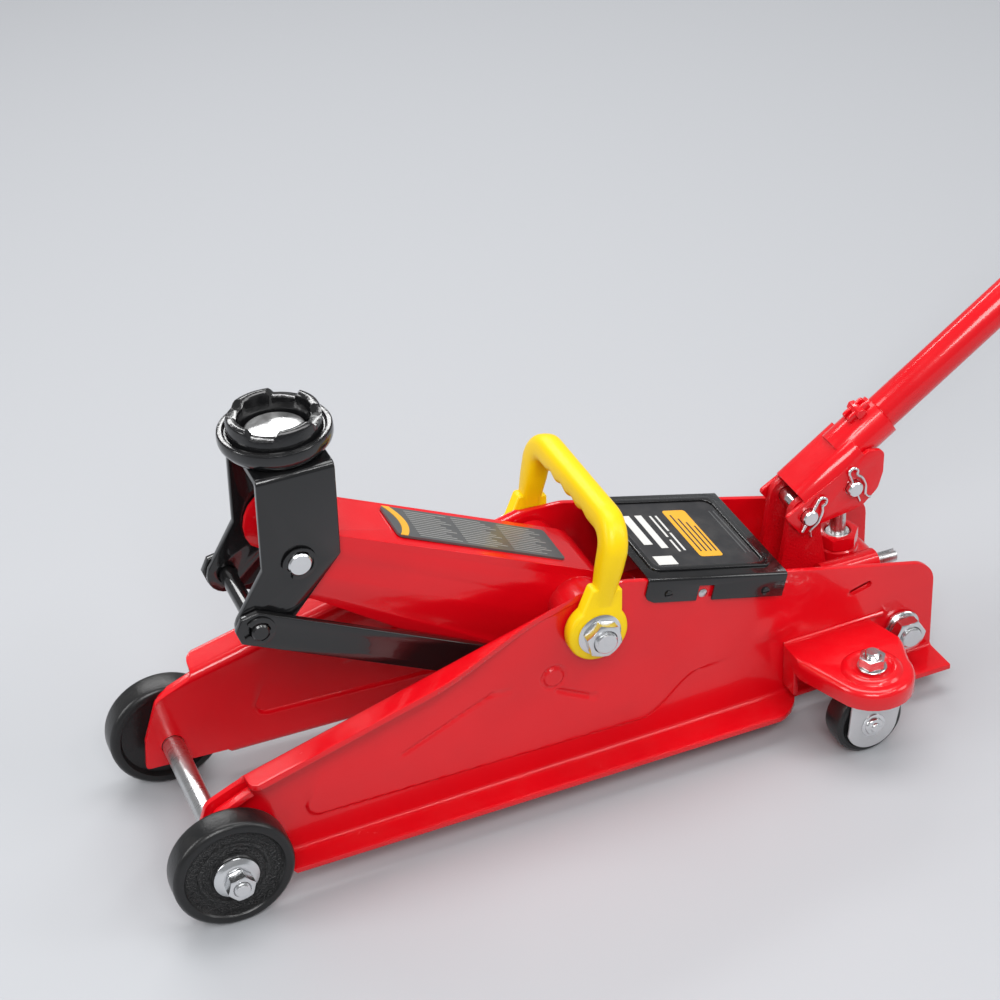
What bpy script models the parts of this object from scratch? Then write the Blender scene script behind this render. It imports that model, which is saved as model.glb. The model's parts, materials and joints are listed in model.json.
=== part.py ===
"""Compact hydraulic floor jack, as an assembly of separate pieces.

Metres, +Z up. +X runs from the front wheels to the handle, the right-hand side of the jack is -Y,
and Z = 0 is the floor. Distances along X in the constants are measured back from the front axle;
the root empty shifts the whole jack so that the middle of its length is at X = 0.
"""

import math

import bmesh
import bpy
from mathutils import Matrix, Vector

# Running clearance between neighbouring pieces
GAP = 0.0003

# Front axle and wheels
AXLE_Z = 0.0315
AXLE_RADIUS = 0.006
WHEEL_RADIUS = 0.0315
WHEEL_WIDTH = 0.016
WHEEL_OUTER_Y = 0.0687
WHEEL_HUB_INNER_Y = 0.0476
AXLE_THREAD_RADIUS = 0.004
AXLE_END_Y = 0.0812
AXLE_NUT_FLATS = 0.013

# Side plates: pressed channels that toe in towards the rear
PLATE_THICKNESS = 0.003
PLATE_HALF_WIDTH = 0.0427
TOE_IN = math.radians(1.2)
TOP_EDGE_START = (0.016, 0.074)
TOP_EDGE_END = (0.190, 0.1195)
TOP_FLANGE_WIDTH = 0.0145
TOP_FLANGE_RISE = math.radians(7.0)
BOTTOM_FLANGE_Z = 0.017
REAR_EDGE_X = 0.413

# Main pivot and lift arm
PIVOT = (0.2065, 0.1015)
PIVOT_RADIUS = 0.008
PIVOT_THREAD_RADIUS = 0.006
PIVOT_NUT_FLATS = 0.018
ARM_LENGTH = 0.1623
ARM_ANGLE = math.radians(26.7)
ARM_HALF_WIDTH = 0.0212
ARM_WALL = 0.003
ARM_TOP = 0.0185
CRANK_RADIUS = 0.034
CRANK_PIN_RADIUS = 0.0045
ROLLER_RADIUS = 0.007

# Saddle bracket, saddle and levelling tie rods
EAR_INNER_Y = 0.0223
EAR_THICKNESS = 0.0038
BRACKET_TOP_Z = 0.2255
BRACKET_PIN_RADIUS = 0.006
TIE_OFFSET = (-0.0247, -0.0297)
TIE_INNER_Y = 0.0267
TIE_THICKNESS = 0.0038
TIE_HALF_HEIGHT = 0.0092
TIE_PIN_RADIUS = 0.0045
SADDLE_X = 0.0640
SADDLE_RADIUS = 0.0282
SADDLE_RIM_Z = 0.2375
SADDLE_CROWN_Z = 0.2455
SADDLE_DISC_RADIUS = 0.0155

# Hydraulic unit
RAM_Z = 0.0675
RAM_RADIUS = 0.008
RAM_CONTACT_GAP = 0.0007
RESERVOIR_RADIUS = 0.0215
RESERVOIR_X = (0.2500, 0.3215)
BASE_X = (0.3220, 0.4040)
BASE_TOP_Z = 0.0620
PUMP_X = 0.3740
PUMP_RADIUS = 0.0115
PUMP_TOP_Z = 0.0830
PLUNGER_RADIUS = 0.007
VALVE_Y = -0.0205
VALVE_Z = 0.0710
TRUNNION = (0.3930, 0.0360)

# Handle socket and handle, along the handle's own direction from the fulcrum pin
FULCRUM = (0.3465, 0.1093)
HANDLE_ANGLE = math.radians(34.8)
HANDLE_OFFSET = 0.0048
HANDLE_RADIUS = 0.010
HANDLE_WALL = 0.0016
GRIP_RADIUS = 0.0138
SOCKET_START = 0.0350
SOCKET_END = 0.0660
SOCKET_RADIUS = 0.0125
SOCKET_SIDE_Y = (0.0133, 0.0160)
PLUNGER_PIN = (0.0282, -0.0067)
LINK_PIN_RADIUS = 0.0045
CLIP_WIRE_RADIUS = 0.0008
HANDLE_START = 0.0375
HANDLE_JOINT = 0.2700
HANDLE_END = 0.4960

# Casters
SHELF_Z = 0.0495
SHELF_THICKNESS = 0.003
KINGPIN = (0.3510, 0.0800)
SHELF_RADIUS = 0.0230
CASTER_RADIUS = 0.020
CASTER_WIDTH = 0.015
CASTER_TRAIL = 0.004

# Cover and carry handle
COVER_X = (0.2395, 0.3200)
COVER_FRONT_Z = 0.1189
COVER_SLOPE = math.radians(14.5)
COVER_HALF_WIDTH = 0.0435
COVER_SHEET = 0.0012
COVER_DEPTH = 0.0145
CARRY_ANGLE = math.radians(13.0)
CARRY_HALF_WIDTH = 0.0525
CARRY_INNER_Y = 0.0450
CARRY_TOP = 0.0660
CARRY_HALF_THICKNESS = 0.007

FRONT_X = -WHEEL_RADIUS
REAR_X = (FULCRUM[0] + HANDLE_END * math.cos(HANDLE_ANGLE)
          + (GRIP_RADIUS - HANDLE_OFFSET) * math.sin(HANDLE_ANGLE))
ORIGIN_SHIFT = -(FRONT_X + REAR_X) / 2

RED = ((0.62, 0.012, 0.016), 0.28, 0.0)
BLACK = ((0.012, 0.012, 0.013), 0.35, 0.0)
RUBBER = ((0.015, 0.015, 0.016), 0.55, 0.0)
ZINC = ((0.72, 0.72, 0.74), 0.28, 1.0)
STEEL = ((0.60, 0.60, 0.62), 0.32, 1.0)
IRON = ((0.50, 0.011, 0.014), 0.45, 0.0)
YELLOW = ((0.90, 0.72, 0.01), 0.38, 0.0)
GRIP = ((0.02, 0.02, 0.022), 0.6, 0.0)

PLANES = {
    "XY": Matrix.Identity(3),
    "XZ": Matrix(((1, 0, 0), (0, 0, -1), (0, 1, 0))),
    "YZ": Matrix(((0, 0, 1), (1, 0, 0), (0, 1, 0))),
}
AXIS_TURN = {
    "X": Matrix.Rotation(math.pi / 2, 4, "Y"),
    "Y": Matrix.Rotation(-math.pi / 2, 4, "X"),
    "Z": Matrix.Identity(4),
}


def clear_scene():
    """Remove everything that the scene holds."""
    for thing in list(bpy.data.objects):
        bpy.data.objects.remove(thing, do_unlink=True)


def new_collection(name, hidden=False):
    """A collection linked to the scene."""
    made = bpy.data.collections.new(name)
    made.hide_render = hidden
    bpy.context.scene.collection.children.link(made)
    return made


def paint(name, look):
    """A Principled material of one colour, roughness and metallic value."""
    colour, roughness, metallic = look
    made = bpy.data.materials.new(name)
    made.use_nodes = True
    shader = made.node_tree.nodes["Principled BSDF"]
    shader.inputs["Base Color"].default_value = (*colour, 1)
    shader.inputs["Roughness"].default_value = roughness
    shader.inputs["Metallic"].default_value = metallic
    return made


def finish_mesh(mesh, matrix=None):
    """Weld a mesh, turn its faces outwards and apply a matrix to it."""
    work = bmesh.new()
    work.from_mesh(mesh)
    bmesh.ops.remove_doubles(work, verts=work.verts, dist=1e-6)
    if matrix is not None:
        bmesh.ops.transform(work, matrix=matrix, verts=work.verts)
    bmesh.ops.recalc_face_normals(work, faces=work.faces)
    work.to_mesh(mesh)
    work.free()
    return mesh


def evaluated_mesh(thing, matrix=None):
    """The evaluated shape of a temporary object, which is then removed."""
    bpy.context.scene.collection.objects.link(thing)
    bpy.context.view_layer.update()
    graph = bpy.context.evaluated_depsgraph_get()
    mesh = bpy.data.meshes.new_from_object(thing.evaluated_get(graph))
    bpy.data.objects.remove(thing, do_unlink=True)
    return finish_mesh(mesh, matrix)


def rounded(corners, steps=5):
    """An outline from (a, b) or (a, b, radius) corners, with the rounded ones as arcs."""
    points = []
    count = len(corners)
    for index, corner in enumerate(corners):
        here = Vector(corner[:2])
        radius = corner[2] if len(corner) > 2 else 0
        if not radius:
            points.append(here)
            continue
        back = (Vector(corners[index - 1][:2]) - here).normalized()
        ahead = (Vector(corners[(index + 1) % count][:2]) - here).normalized()
        half = back.angle(ahead) / 2
        reach = radius / math.tan(half)
        centre = here + (back + ahead).normalized() * radius / math.sin(half)
        first = here + back * reach - centre
        swing = first.angle_signed(here + ahead * reach - centre)
        for step in range(steps + 1):
            angle = -swing * step / steps
            turned = Vector((first.x * math.cos(angle) - first.y * math.sin(angle),
                             first.x * math.sin(angle) + first.y * math.cos(angle)))
            points.append(centre + turned)
    return points


def arc(centre, radius, start, end, steps=8):
    """Points on an arc, with its angles in degrees."""
    found = []
    for step in range(steps + 1):
        angle = math.radians(start + (end - start) * step / steps)
        found.append((centre[0] + radius * math.cos(angle), centre[1] + radius * math.sin(angle)))
    return found


def slab(points, low, high, plane="XZ"):
    """A flat outline of even thickness, from low to high across its plane."""
    curve = bpy.data.curves.new("outline", "CURVE")
    curve.dimensions = "2D"
    curve.fill_mode = "BOTH"
    curve.extrude = (high - low) / 2
    spline = curve.splines.new("POLY")
    spline.points.add(len(points) - 1)
    for target, source in zip(spline.points, points):
        target.co = (source[0], source[1], 0, 1)
    spline.use_cyclic_u = True
    turn = PLANES[plane]
    across = turn @ Vector((0, 0, 1))
    middle = (low + high) / 2
    offset = Vector([middle * abs(part) for part in across])
    matrix = Matrix.Translation(offset) @ turn.to_4x4()
    return evaluated_mesh(bpy.data.objects.new("outline", curve), matrix)


def block(low, high):
    """A box between two corners."""
    work = bmesh.new()
    bmesh.ops.create_cube(work, size=1)
    size = [b - a for a, b in zip(low, high)]
    middle = [(a + b) / 2 for a, b in zip(low, high)]
    bmesh.ops.scale(work, vec=size, verts=work.verts)
    bmesh.ops.translate(work, vec=middle, verts=work.verts)
    mesh = bpy.data.meshes.new("block")
    work.to_mesh(mesh)
    work.free()
    return mesh


def rod(radius, low, high, axis="Y", at=(0, 0), sides=24, turn=0):
    """A cylinder from low to high along an axis; at holds its other two coordinates in order."""
    work = bmesh.new()
    bmesh.ops.create_cone(work, cap_ends=True, segments=sides, radius1=radius, radius2=radius,
                          depth=high - low)
    place = {"X": ((low + high) / 2, at[0], at[1]),
             "Y": (at[0], (low + high) / 2, at[1]),
             "Z": (at[0], at[1], (low + high) / 2)}[axis]
    matrix = Matrix.Translation(place) @ AXIS_TURN[axis] @ Matrix.Rotation(turn, 4, "Z")
    bmesh.ops.transform(work, matrix=matrix, verts=work.verts)
    mesh = bpy.data.meshes.new("rod")
    work.to_mesh(mesh)
    work.free()
    return mesh


def hexagon(flats, low, high, axis="Y", at=(0, 0)):
    """A hexagonal prism of the given width across its flats."""
    return rod(flats / math.sqrt(3), low, high, axis, at, sides=6)


def turned(profile, axis="Y", at=(0, 0, 0), steps=28, flip=False):
    """A closed (radius, height) profile turned about an axis; flip reverses the height."""
    mesh = bpy.data.meshes.new("profile")
    sign = -1 if flip else 1
    mesh.from_pydata([(r, 0, sign * h) for r, h in profile],
                     [(i, (i + 1) % len(profile)) for i in range(len(profile))], [])
    thing = bpy.data.objects.new("profile", mesh)
    screw = thing.modifiers.new("turn", "SCREW")
    screw.steps = steps
    screw.render_steps = steps
    screw.use_merge_vertices = True
    screw.merge_threshold = 1e-5
    return evaluated_mesh(thing, Matrix.Translation(at) @ AXIS_TURN[axis])


def wire(points, radius, sides=2):
    """A round wire along a list of points, with closed ends."""
    curve = bpy.data.curves.new("wire", "CURVE")
    curve.dimensions = "3D"
    curve.bevel_depth = radius
    curve.bevel_resolution = sides
    curve.use_fill_caps = True
    spline = curve.splines.new("POLY")
    spline.points.add(len(points) - 1)
    for target, source in zip(spline.points, points):
        target.co = (*source, 1)
    return evaluated_mesh(bpy.data.objects.new("wire", curve))


def moved(mesh, matrix):
    """The same mesh after a matrix."""
    mesh.transform(matrix)
    return mesh


class Jack:
    """Holds the collections, materials and frames that the pieces are placed in."""

    def __init__(self):
        self.parts = new_collection("floor_jack")
        self.cutters = new_collection("cutters", hidden=True)
        self.looks = {}
        self.root = self.frame("jack_root", (ORIGIN_SHIFT, 0, 0))

    def frame(self, name, place, parent=None, turn=(0, 0, 0)):
        """An empty at a joint axis or a reference point."""
        made = bpy.data.objects.new(name, None)
        made.empty_display_size = 0.02
        made.location = place
        made.rotation_euler = turn
        made.parent = parent
        self.parts.objects.link(made)
        return made

    def helper(self, mesh, owner, operation, index):
        """A hidden shape that is joined to or cut from its owner."""
        name = f"{operation.lower()}_{owner.name}_{index}"
        made = bpy.data.objects.new(name, mesh)
        made.parent = owner.parent
        made.location = owner.location
        made.rotation_euler = owner.rotation_euler
        made.hide_render = True
        made.display_type = "WIRE"
        self.cutters.objects.link(made)
        modifier = owner.modifiers.new(name, "BOOLEAN")
        modifier.object = made
        modifier.operation = operation
        modifier.solver = "EXACT"

    def piece(self, name, look, mesh, parent=None, joined=(), cut=(), place=(0, 0, 0),
              turn=(0, 0, 0)):
        """One named sub-part from a base shape, shapes joined to it and shapes cut from it."""
        made = bpy.data.objects.new(name, mesh)
        mesh.name = name
        key = str(look)
        if key not in self.looks:
            self.looks[key] = paint(f"finish_{len(self.looks)}", look)
        mesh.materials.clear()
        mesh.materials.append(self.looks[key])
        mesh.shade_smooth()
        mesh.set_sharp_from_angle(angle=math.radians(35))
        made.parent = parent or self.root
        made.location = place
        made.rotation_euler = turn
        self.parts.objects.link(made)
        for index, shape in enumerate(joined):
            self.helper(shape, made, "UNION", index)
        for index, shape in enumerate(cut):
            self.helper(shape, made, "DIFFERENCE", index)
        return made


def front_wheel_profile():
    """The wheel's half section: tread, rim, recessed face and hub, as (radius, height) points."""
    half = WHEEL_WIDTH / 2
    hub_depth = WHEEL_OUTER_Y - half - WHEEL_HUB_INNER_Y
    bore = AXLE_RADIUS + GAP
    return [(bore, half - 0.0005), (0.0120, half - 0.0005), (0.0130, half - 0.003),
            (0.0250, half - 0.003), (0.0262, half), (WHEEL_RADIUS - 0.0013, half),
            (WHEEL_RADIUS, half - 0.0015), (WHEEL_RADIUS, -half + 0.0015),
            (WHEEL_RADIUS - 0.0013, -half), (0.0262, -half), (0.0250, -half + 0.003),
            (0.0110, -half + 0.003), (0.0100, -hub_depth), (bore, -hub_depth)]


def add_front_end(jack):
    """The axle with its wheels, dished washers and nuts."""
    thread_start = WHEEL_OUTER_Y + GAP
    jack.piece("front_axle", STEEL, rod(AXLE_RADIUS, -thread_start, thread_start, at=(0, AXLE_Z)),
               joined=[rod(AXLE_THREAD_RADIUS, -AXLE_END_Y, AXLE_END_Y, at=(0, AXLE_Z))])
    middle = WHEEL_OUTER_Y - WHEEL_WIDTH / 2
    bore = AXLE_THREAD_RADIUS + GAP
    washer_y = thread_start + GAP
    nut_y = washer_y + 0.0032
    for side, word in ((-1, "right"), (1, "left")):
        spin = jack.frame(f"wheel_{word}_axis", (0, side * middle, AXLE_Z), jack.root)
        jack.piece(f"front_wheel_{word}", RUBBER,
                   turned(front_wheel_profile(), steps=32, flip=side < 0), spin)
        washer = [(bore, 0.0016), (0.0085, 0.0028), (0.0118, 0.0010), (0.0118, 0), (bore, 0)]
        jack.piece(f"axle_washer_{word}", ZINC,
                   turned(washer, at=(0, side * washer_y, AXLE_Z), steps=24, flip=side < 0))
        low, high = sorted((side * nut_y, side * (nut_y + 0.0068)))
        jack.piece(f"axle_nut_{word}", ZINC, hexagon(AXLE_NUT_FLATS, low, high, at=(0, AXLE_Z)),
                   cut=[rod(bore, low - 0.01, high + 0.01, at=(0, AXLE_Z), sides=16)])


def plate_outline():
    """The side plate's flat outline, from the nose round to the rear edge."""
    px, pz = PIVOT
    corners = [(-0.0160, 0.0200, 0.002), (-0.0140, 0.0380), (-0.0055, 0.0620, 0.008),
               (0.0140, 0.0705), (0.0180, TOP_EDGE_START[1] + 0.0012), (*TOP_EDGE_END, 0.03),
               (0.2030, 0.1212, 0.02), (0.2270, 0.1207, 0.02), (0.2400, 0.1172),
               (REAR_EDGE_X, 0.0722, 0.015), (REAR_EDGE_X, 0.0140),
               (0.0330, 0.0140), (0.0290, 0.0185)]
    return [(x - px, z - pz) for x, z in rounded(corners)]


def bottom_flange(side, start, end):
    """A strip of the bottom flange as a plan outline from the web outwards."""
    px = PIVOT[0]
    width = {0.034: 0.0147, 0.309: 0.0195, 0.388: 0.0205, 0.4105: 0.0215}
    points = [(start - px, -side * PLATE_THICKNESS / 2), (start - px, side * width[start])]
    if end < 0.35:
        points += [(end - px, side * width[end]), (end + 0.017 - px, side * 0.004)]
        points += [(end + 0.017 - px, -side * PLATE_THICKNESS / 2)]
    else:
        points += [(end - px, side * width[end]), (end - px, -side * PLATE_THICKNESS / 2)]
    low = BOTTOM_FLANGE_Z - PLATE_THICKNESS - PIVOT[1]
    return slab(points, low, low + PLATE_THICKNESS, "XY")


def top_flange(side):
    """The flange along the sloping top edge, narrowing to nothing at the main pivot."""
    (x0, z0), (x1, z1) = TOP_EDGE_START, TOP_EDGE_END
    length = math.hypot(x1 - x0, z1 - z0)
    slope = math.atan2(z1 - z0, x1 - x0)
    wide = TOP_FLANGE_WIDTH
    points = [(0.001, -PLATE_THICKNESS / 2), (0.005, wide), (0.60 * length, wide),
              (0.80 * length, 0.70 * wide), (0.92 * length, 0.30 * wide),
              (0.985 * length, 0.02 * wide), (0.985 * length, -PLATE_THICKNESS / 2)]
    mesh = slab([(a, side * b) for a, b in points], -PLATE_THICKNESS, 0, "XY")
    tilt = Matrix.Rotation(side * TOP_FLANGE_RISE, 4, "X")
    place = Matrix.Translation((x0 - PIVOT[0], 0, z0 - PIVOT[1]))
    return moved(mesh, place @ Matrix.Rotation(-slope, 4, "Y") @ tilt)


def plate_holes():
    """Cutters through a side plate, in the plate's own frame."""
    px, pz = PIVOT
    deep = 0.02
    rear_pivot = tie_rod_pivot()
    slot = [(0.0055, 0.0), (-0.0055, 0.0)]
    ends = [arc(slot[0], 0.0022, -90, 90, 6), arc(slot[1], 0.0022, 90, 270, 6)]
    slot_mesh = slab(ends[0] + ends[1], -deep, deep)
    lean = Matrix.Translation((0.3665 - px, 0, 0.0703 - pz)) @ Matrix.Rotation(-0.25, 4, "Y")
    return [rod(PIVOT_THREAD_RADIUS + 0.0005, -deep, deep),
            rod(AXLE_RADIUS + 0.0005, -deep, deep, at=(-px, AXLE_Z - pz)),
            rod(0.0055, -deep, deep, at=(rear_pivot[0] - px, rear_pivot[1] - pz)),
            rod(0.0066, -deep, deep, at=(TRUNNION[0] - px, TRUNNION[1] - pz)),
            moved(slot_mesh, lean)]


def tie_rod_pivot():
    """Where the tie rods turn on the side plates: the fourth corner of the parallelogram."""
    return (PIVOT[0] + TIE_OFFSET[0], PIVOT[1] + TIE_OFFSET[1])


def add_side_plates(jack):
    """Left and right pressed side plates with their flanges."""
    for side, word in ((-1, "right"), (1, "left")):
        web = sorted((-side * PLATE_THICKNESS, 0))
        jack.piece(f"side_plate_{word}", RED, slab(plate_outline(), *web),
                   joined=[bottom_flange(side, 0.034, 0.309), bottom_flange(side, 0.388, 0.4105),
                           top_flange(side)],
                   cut=plate_holes(), place=(PIVOT[0], side * PLATE_HALF_WIDTH, PIVOT[1]),
                   turn=(0, 0, -side * TOE_IN))


def add_casters(jack):
    """Each caster: pressed shelf, kingpin with nut, swivelling fork and wheel."""
    kx, ky = KINGPIN
    web_y = PLATE_HALF_WIDTH - (kx - PIVOT[0]) * math.tan(TOE_IN) + 0.0016
    lip = 0.008
    wall = 0.0026
    low = SHELF_Z - SHELF_THICKNESS - lip
    for side, word in ((-1, "right"), (1, "left")):
        def outline(inset, root):
            radius = SHELF_RADIUS - inset
            points = [(0.3190 + inset, root), (0.3190 + inset, 0.060)]
            points += arc((kx, ky), radius, 165, 0, 12)
            points += [(0.3818 - inset, 0.066), (0.3818 - inset, root)]
            return [(x, side * y) for x, y in points]
        pocket = slab(outline(wall, web_y - 0.01), low - 0.01, SHELF_Z - SHELF_THICKNESS, "XY")
        gusset = slab([(0.3190, 0.0235), (0.3190, SHELF_Z - 0.001), (0.3220, SHELF_Z - 0.001),
                       (0.3220, 0.0235)],
                      *sorted((side * web_y, side * (web_y + 0.0120))))
        jack.piece(f"caster_shelf_{word}", RED, slab(outline(0, web_y), low, SHELF_Z, "XY"),
                   joined=[gusset],
                   cut=[pocket, rod(0.0044, 0, 0.1, "Z", (kx, side * ky), 16)])
        fork_top = 0.0433
        stud = rod(0.004, 0.0415, 0.0600, "Z", (kx, side * ky), 16)
        jack.piece(f"caster_kingpin_{word}", ZINC, stud,
                   joined=[rod(0.0095, fork_top + GAP, SHELF_Z - SHELF_THICKNESS - GAP, "Z",
                               (kx, side * ky), 20),
                           hexagon(0.013, SHELF_Z + GAP, SHELF_Z + 0.0072, "Z", (kx, side * ky))])
        swivel = jack.frame(f"caster_{word}_swivel", (kx, side * ky, 0), jack.root)
        half = CASTER_WIDTH / 2
        cheek_in = half + 0.0008
        cheek_out = cheek_in + 0.0018
        drop = fork_top - CASTER_RADIUS
        cheek = ([(-CASTER_TRAIL - 0.0085, 0.0)] + [(0.0095, fork_top - CASTER_RADIUS)]
                 + [(-CASTER_TRAIL + 0.0085, 0.0)])
        foot = arc((-CASTER_TRAIL, 0), 0.0085, 180, 360, 8)
        cheek = foot + [(0.0095, drop), (-0.0125, drop)]
        fork = slab([(a, b + CASTER_RADIUS) for a, b in cheek], -cheek_out, cheek_out)
        space = block((-0.03, -cheek_in, -0.01), (0.03, cheek_in, fork_top - 0.0018))
        axle = rod(0.003, -cheek_out - 0.0012, cheek_out + 0.0012,
                   at=(-CASTER_TRAIL, CASTER_RADIUS), sides=16)
        fork_piece = jack.piece(f"caster_fork_{word}", ZINC, fork, swivel,
                                cut=[space, rod(0.0044, 0.03, 0.06, "Z", (0, 0), 16)])
        jack.helper(axle, fork_piece, "UNION", 9)
        roll = jack.frame(f"caster_{word}_axis", (-CASTER_TRAIL, 0, CASTER_RADIUS), swivel)
        tyre = [(0.0033, half), (0.0070, half), (0.0080, half - 0.0015), (0.0155, half - 0.0015),
                (0.0165, half), (CASTER_RADIUS - 0.0015, half), (CASTER_RADIUS, half - 0.0018),
                (CASTER_RADIUS, -half + 0.0018), (CASTER_RADIUS - 0.0015, -half),
                (0.0165, -half), (0.0155, -half + 0.0015), (0.0080, -half + 0.0015),
                (0.0070, -half), (0.0033, -half)]
        jack.piece(f"caster_wheel_{word}", RUBBER, turned(tyre, steps=24), roll)


def add_main_pivot(jack):
    """The shaft that the lift arm turns on, and its nuts outside the carry handle."""
    px, pz = PIVOT
    shoulder = PLATE_HALF_WIDTH - PLATE_THICKNESS - 0.0012
    nut_y = CARRY_HALF_WIDTH + GAP
    end = nut_y + 0.0098
    jack.piece("main_pivot_shaft", STEEL, rod(PIVOT_RADIUS, -shoulder, shoulder, at=(px, pz)),
               joined=[rod(PIVOT_THREAD_RADIUS, -end, end, at=(px, pz))])
    bore = PIVOT_THREAD_RADIUS + GAP
    for side, word in ((-1, "right"), (1, "left")):
        low, high = sorted((side * nut_y, side * (nut_y + 0.0078)))
        jack.piece(f"pivot_nut_{word}", ZINC, hexagon(PIVOT_NUT_FLATS, low, high, at=(px, pz)),
                   cut=[rod(bore, low - 0.01, high + 0.01, at=(px, pz), sides=20)])


def add_lift_arm(jack):
    """The pressed lift arm, its crank pin with roller, and the boss on the main pivot."""
    pivot = jack.frame("lift_axis", (PIVOT[0], 0, PIVOT[1]), jack.root)
    tilt = (0, ARM_ANGLE, 0)
    crank = (CRANK_RADIUS * math.sin(ARM_ANGLE), -CRANK_RADIUS * math.cos(ARM_ANGLE))
    nose = arc((-ARM_LENGTH, 0), ARM_TOP, 90, 250, 8)
    lobe = arc(crank, 0.0125, -95, 10, 6)
    boss = arc((0, 0), ARM_TOP + 0.001, -35, 90, 8)
    outline = nose + [(-0.1346, -0.0229), (-0.0915, -0.0305), (-0.0435, -0.0315)] + lobe + boss
    inner = ARM_HALF_WIDTH - ARM_WALL
    hollow = [(-ARM_LENGTH - 0.03, ARM_TOP - ARM_WALL), (0.03, ARM_TOP - ARM_WALL),
              (0.03, -0.06), (-ARM_LENGTH - 0.03, -0.06)]
    jack.piece("lift_arm", RED, slab(outline, -ARM_HALF_WIDTH, ARM_HALF_WIDTH), pivot,
               joined=[],
               cut=[slab(hollow, -inner, inner)], turn=tilt)
    arm = bpy.data.objects["lift_arm"]
    jack.helper(rod(0.0150, -0.0372, 0.0372), arm, "UNION", 1)
    jack.helper(rod(PIVOT_RADIUS + GAP, -0.06, 0.06), arm, "DIFFERENCE", 2)
    jack.helper(rod(BRACKET_PIN_RADIUS + GAP, -0.06, 0.06, at=(-ARM_LENGTH, 0)), arm,
                "DIFFERENCE", 3)
    jack.helper(rod(CRANK_PIN_RADIUS + GAP, -0.06, 0.06, at=crank, sides=16), arm,
                "DIFFERENCE", 4)
    jack.piece("crank_pin", STEEL,
               rod(CRANK_PIN_RADIUS, -ARM_HALF_WIDTH, ARM_HALF_WIDTH, at=(0, -CRANK_RADIUS),
                   sides=16), pivot,
               joined=[rod(ROLLER_RADIUS, -0.009, 0.009, at=(0, -CRANK_RADIUS), sides=24)])


def bracket_place():
    """The bracket pin's X and Z at rest."""
    return (PIVOT[0] - ARM_LENGTH * math.cos(ARM_ANGLE),
            PIVOT[1] + ARM_LENGTH * math.sin(ARM_ANGLE))


def add_saddle_bracket(jack):
    """The U-shaped bracket that stays level, its pin and retaining rings."""
    bx, bz = bracket_place()
    level = jack.frame("bracket_axis", (bx, 0, bz), jack.root)
    ear_outer = EAR_INNER_Y + EAR_THICKNESS
    top = BRACKET_TOP_Z - bz
    fx, fz = TIE_OFFSET
    lobe = arc((fx, fz), 0.0105, 150, 285, 8)
    outline = [(-0.0165, top), (-0.0185, 0.0)] + lobe + [(-0.0125, -0.0392), (0.0215, -0.0005), (0.0230, top)]
    space = block((-0.05, -EAR_INNER_Y, -0.06), (0.05, EAR_INNER_Y, top - EAR_THICKNESS))
    jack.piece("saddle_bracket", BLACK, slab(outline, -ear_outer, ear_outer), level,
               cut=[space, rod(BRACKET_PIN_RADIUS + GAP, -0.05, 0.05),
                    rod(TIE_PIN_RADIUS + 0.0004, -0.05, 0.05, at=(fx, fz), sides=20)])
    pin_end = ear_outer + 0.0026
    jack.piece("bracket_pin", ZINC, rod(BRACKET_PIN_RADIUS, -pin_end, pin_end), level)
    for side, word in ((-1, "right"), (1, "left")):
        low, high = sorted((side * (ear_outer + GAP), side * (ear_outer + 0.0015)))
        jack.piece(f"bracket_pin_ring_{word}", BLACK, rod(0.0085, low, high, sides=20), level,
                   cut=[rod(BRACKET_PIN_RADIUS + GAP, -0.05, 0.05)])
    return level


def add_saddle(jack):
    """The round saddle with its crown of lugs, and the rivet that holds it."""
    spin = jack.frame("saddle_axis", (SADDLE_X, 0, BRACKET_TOP_Z), jack.root)
    rim = SADDLE_RIM_Z - BRACKET_TOP_Z
    crown = SADDLE_CROWN_Z - BRACKET_TOP_Z
    floor = 0.0070
    hole = 0.0068
    cup = [(hole, floor), (0.0195, floor), (0.0205, crown), (0.0238, crown), (0.0248, rim - 0.001),
           (SADDLE_RADIUS - 0.0006, rim), (SADDLE_RADIUS, rim - 0.0008),
           (SADDLE_RADIUS, 0.0050), (0.0240, GAP), (hole, GAP)]
    notches = []
    for index in range(4):
        angle = math.radians(57 + 90 * index)
        notch = block((0.012, -0.0080, rim + 0.0045), (0.035, 0.0080, crown + 0.01))
        notches.append(moved(notch, Matrix.Rotation(angle, 4, "Z")))
    jack.piece("saddle", BLACK, turned(cup, "Z", steps=32), spin, cut=notches)
    jack.piece("saddle_rivet", STEEL,
               rod(0.0064, 0.0012, floor + 0.001, "Z", sides=24), spin,
               joined=[rod(SADDLE_DISC_RADIUS, floor + GAP, floor + 0.0035, "Z", sides=32)])


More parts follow.
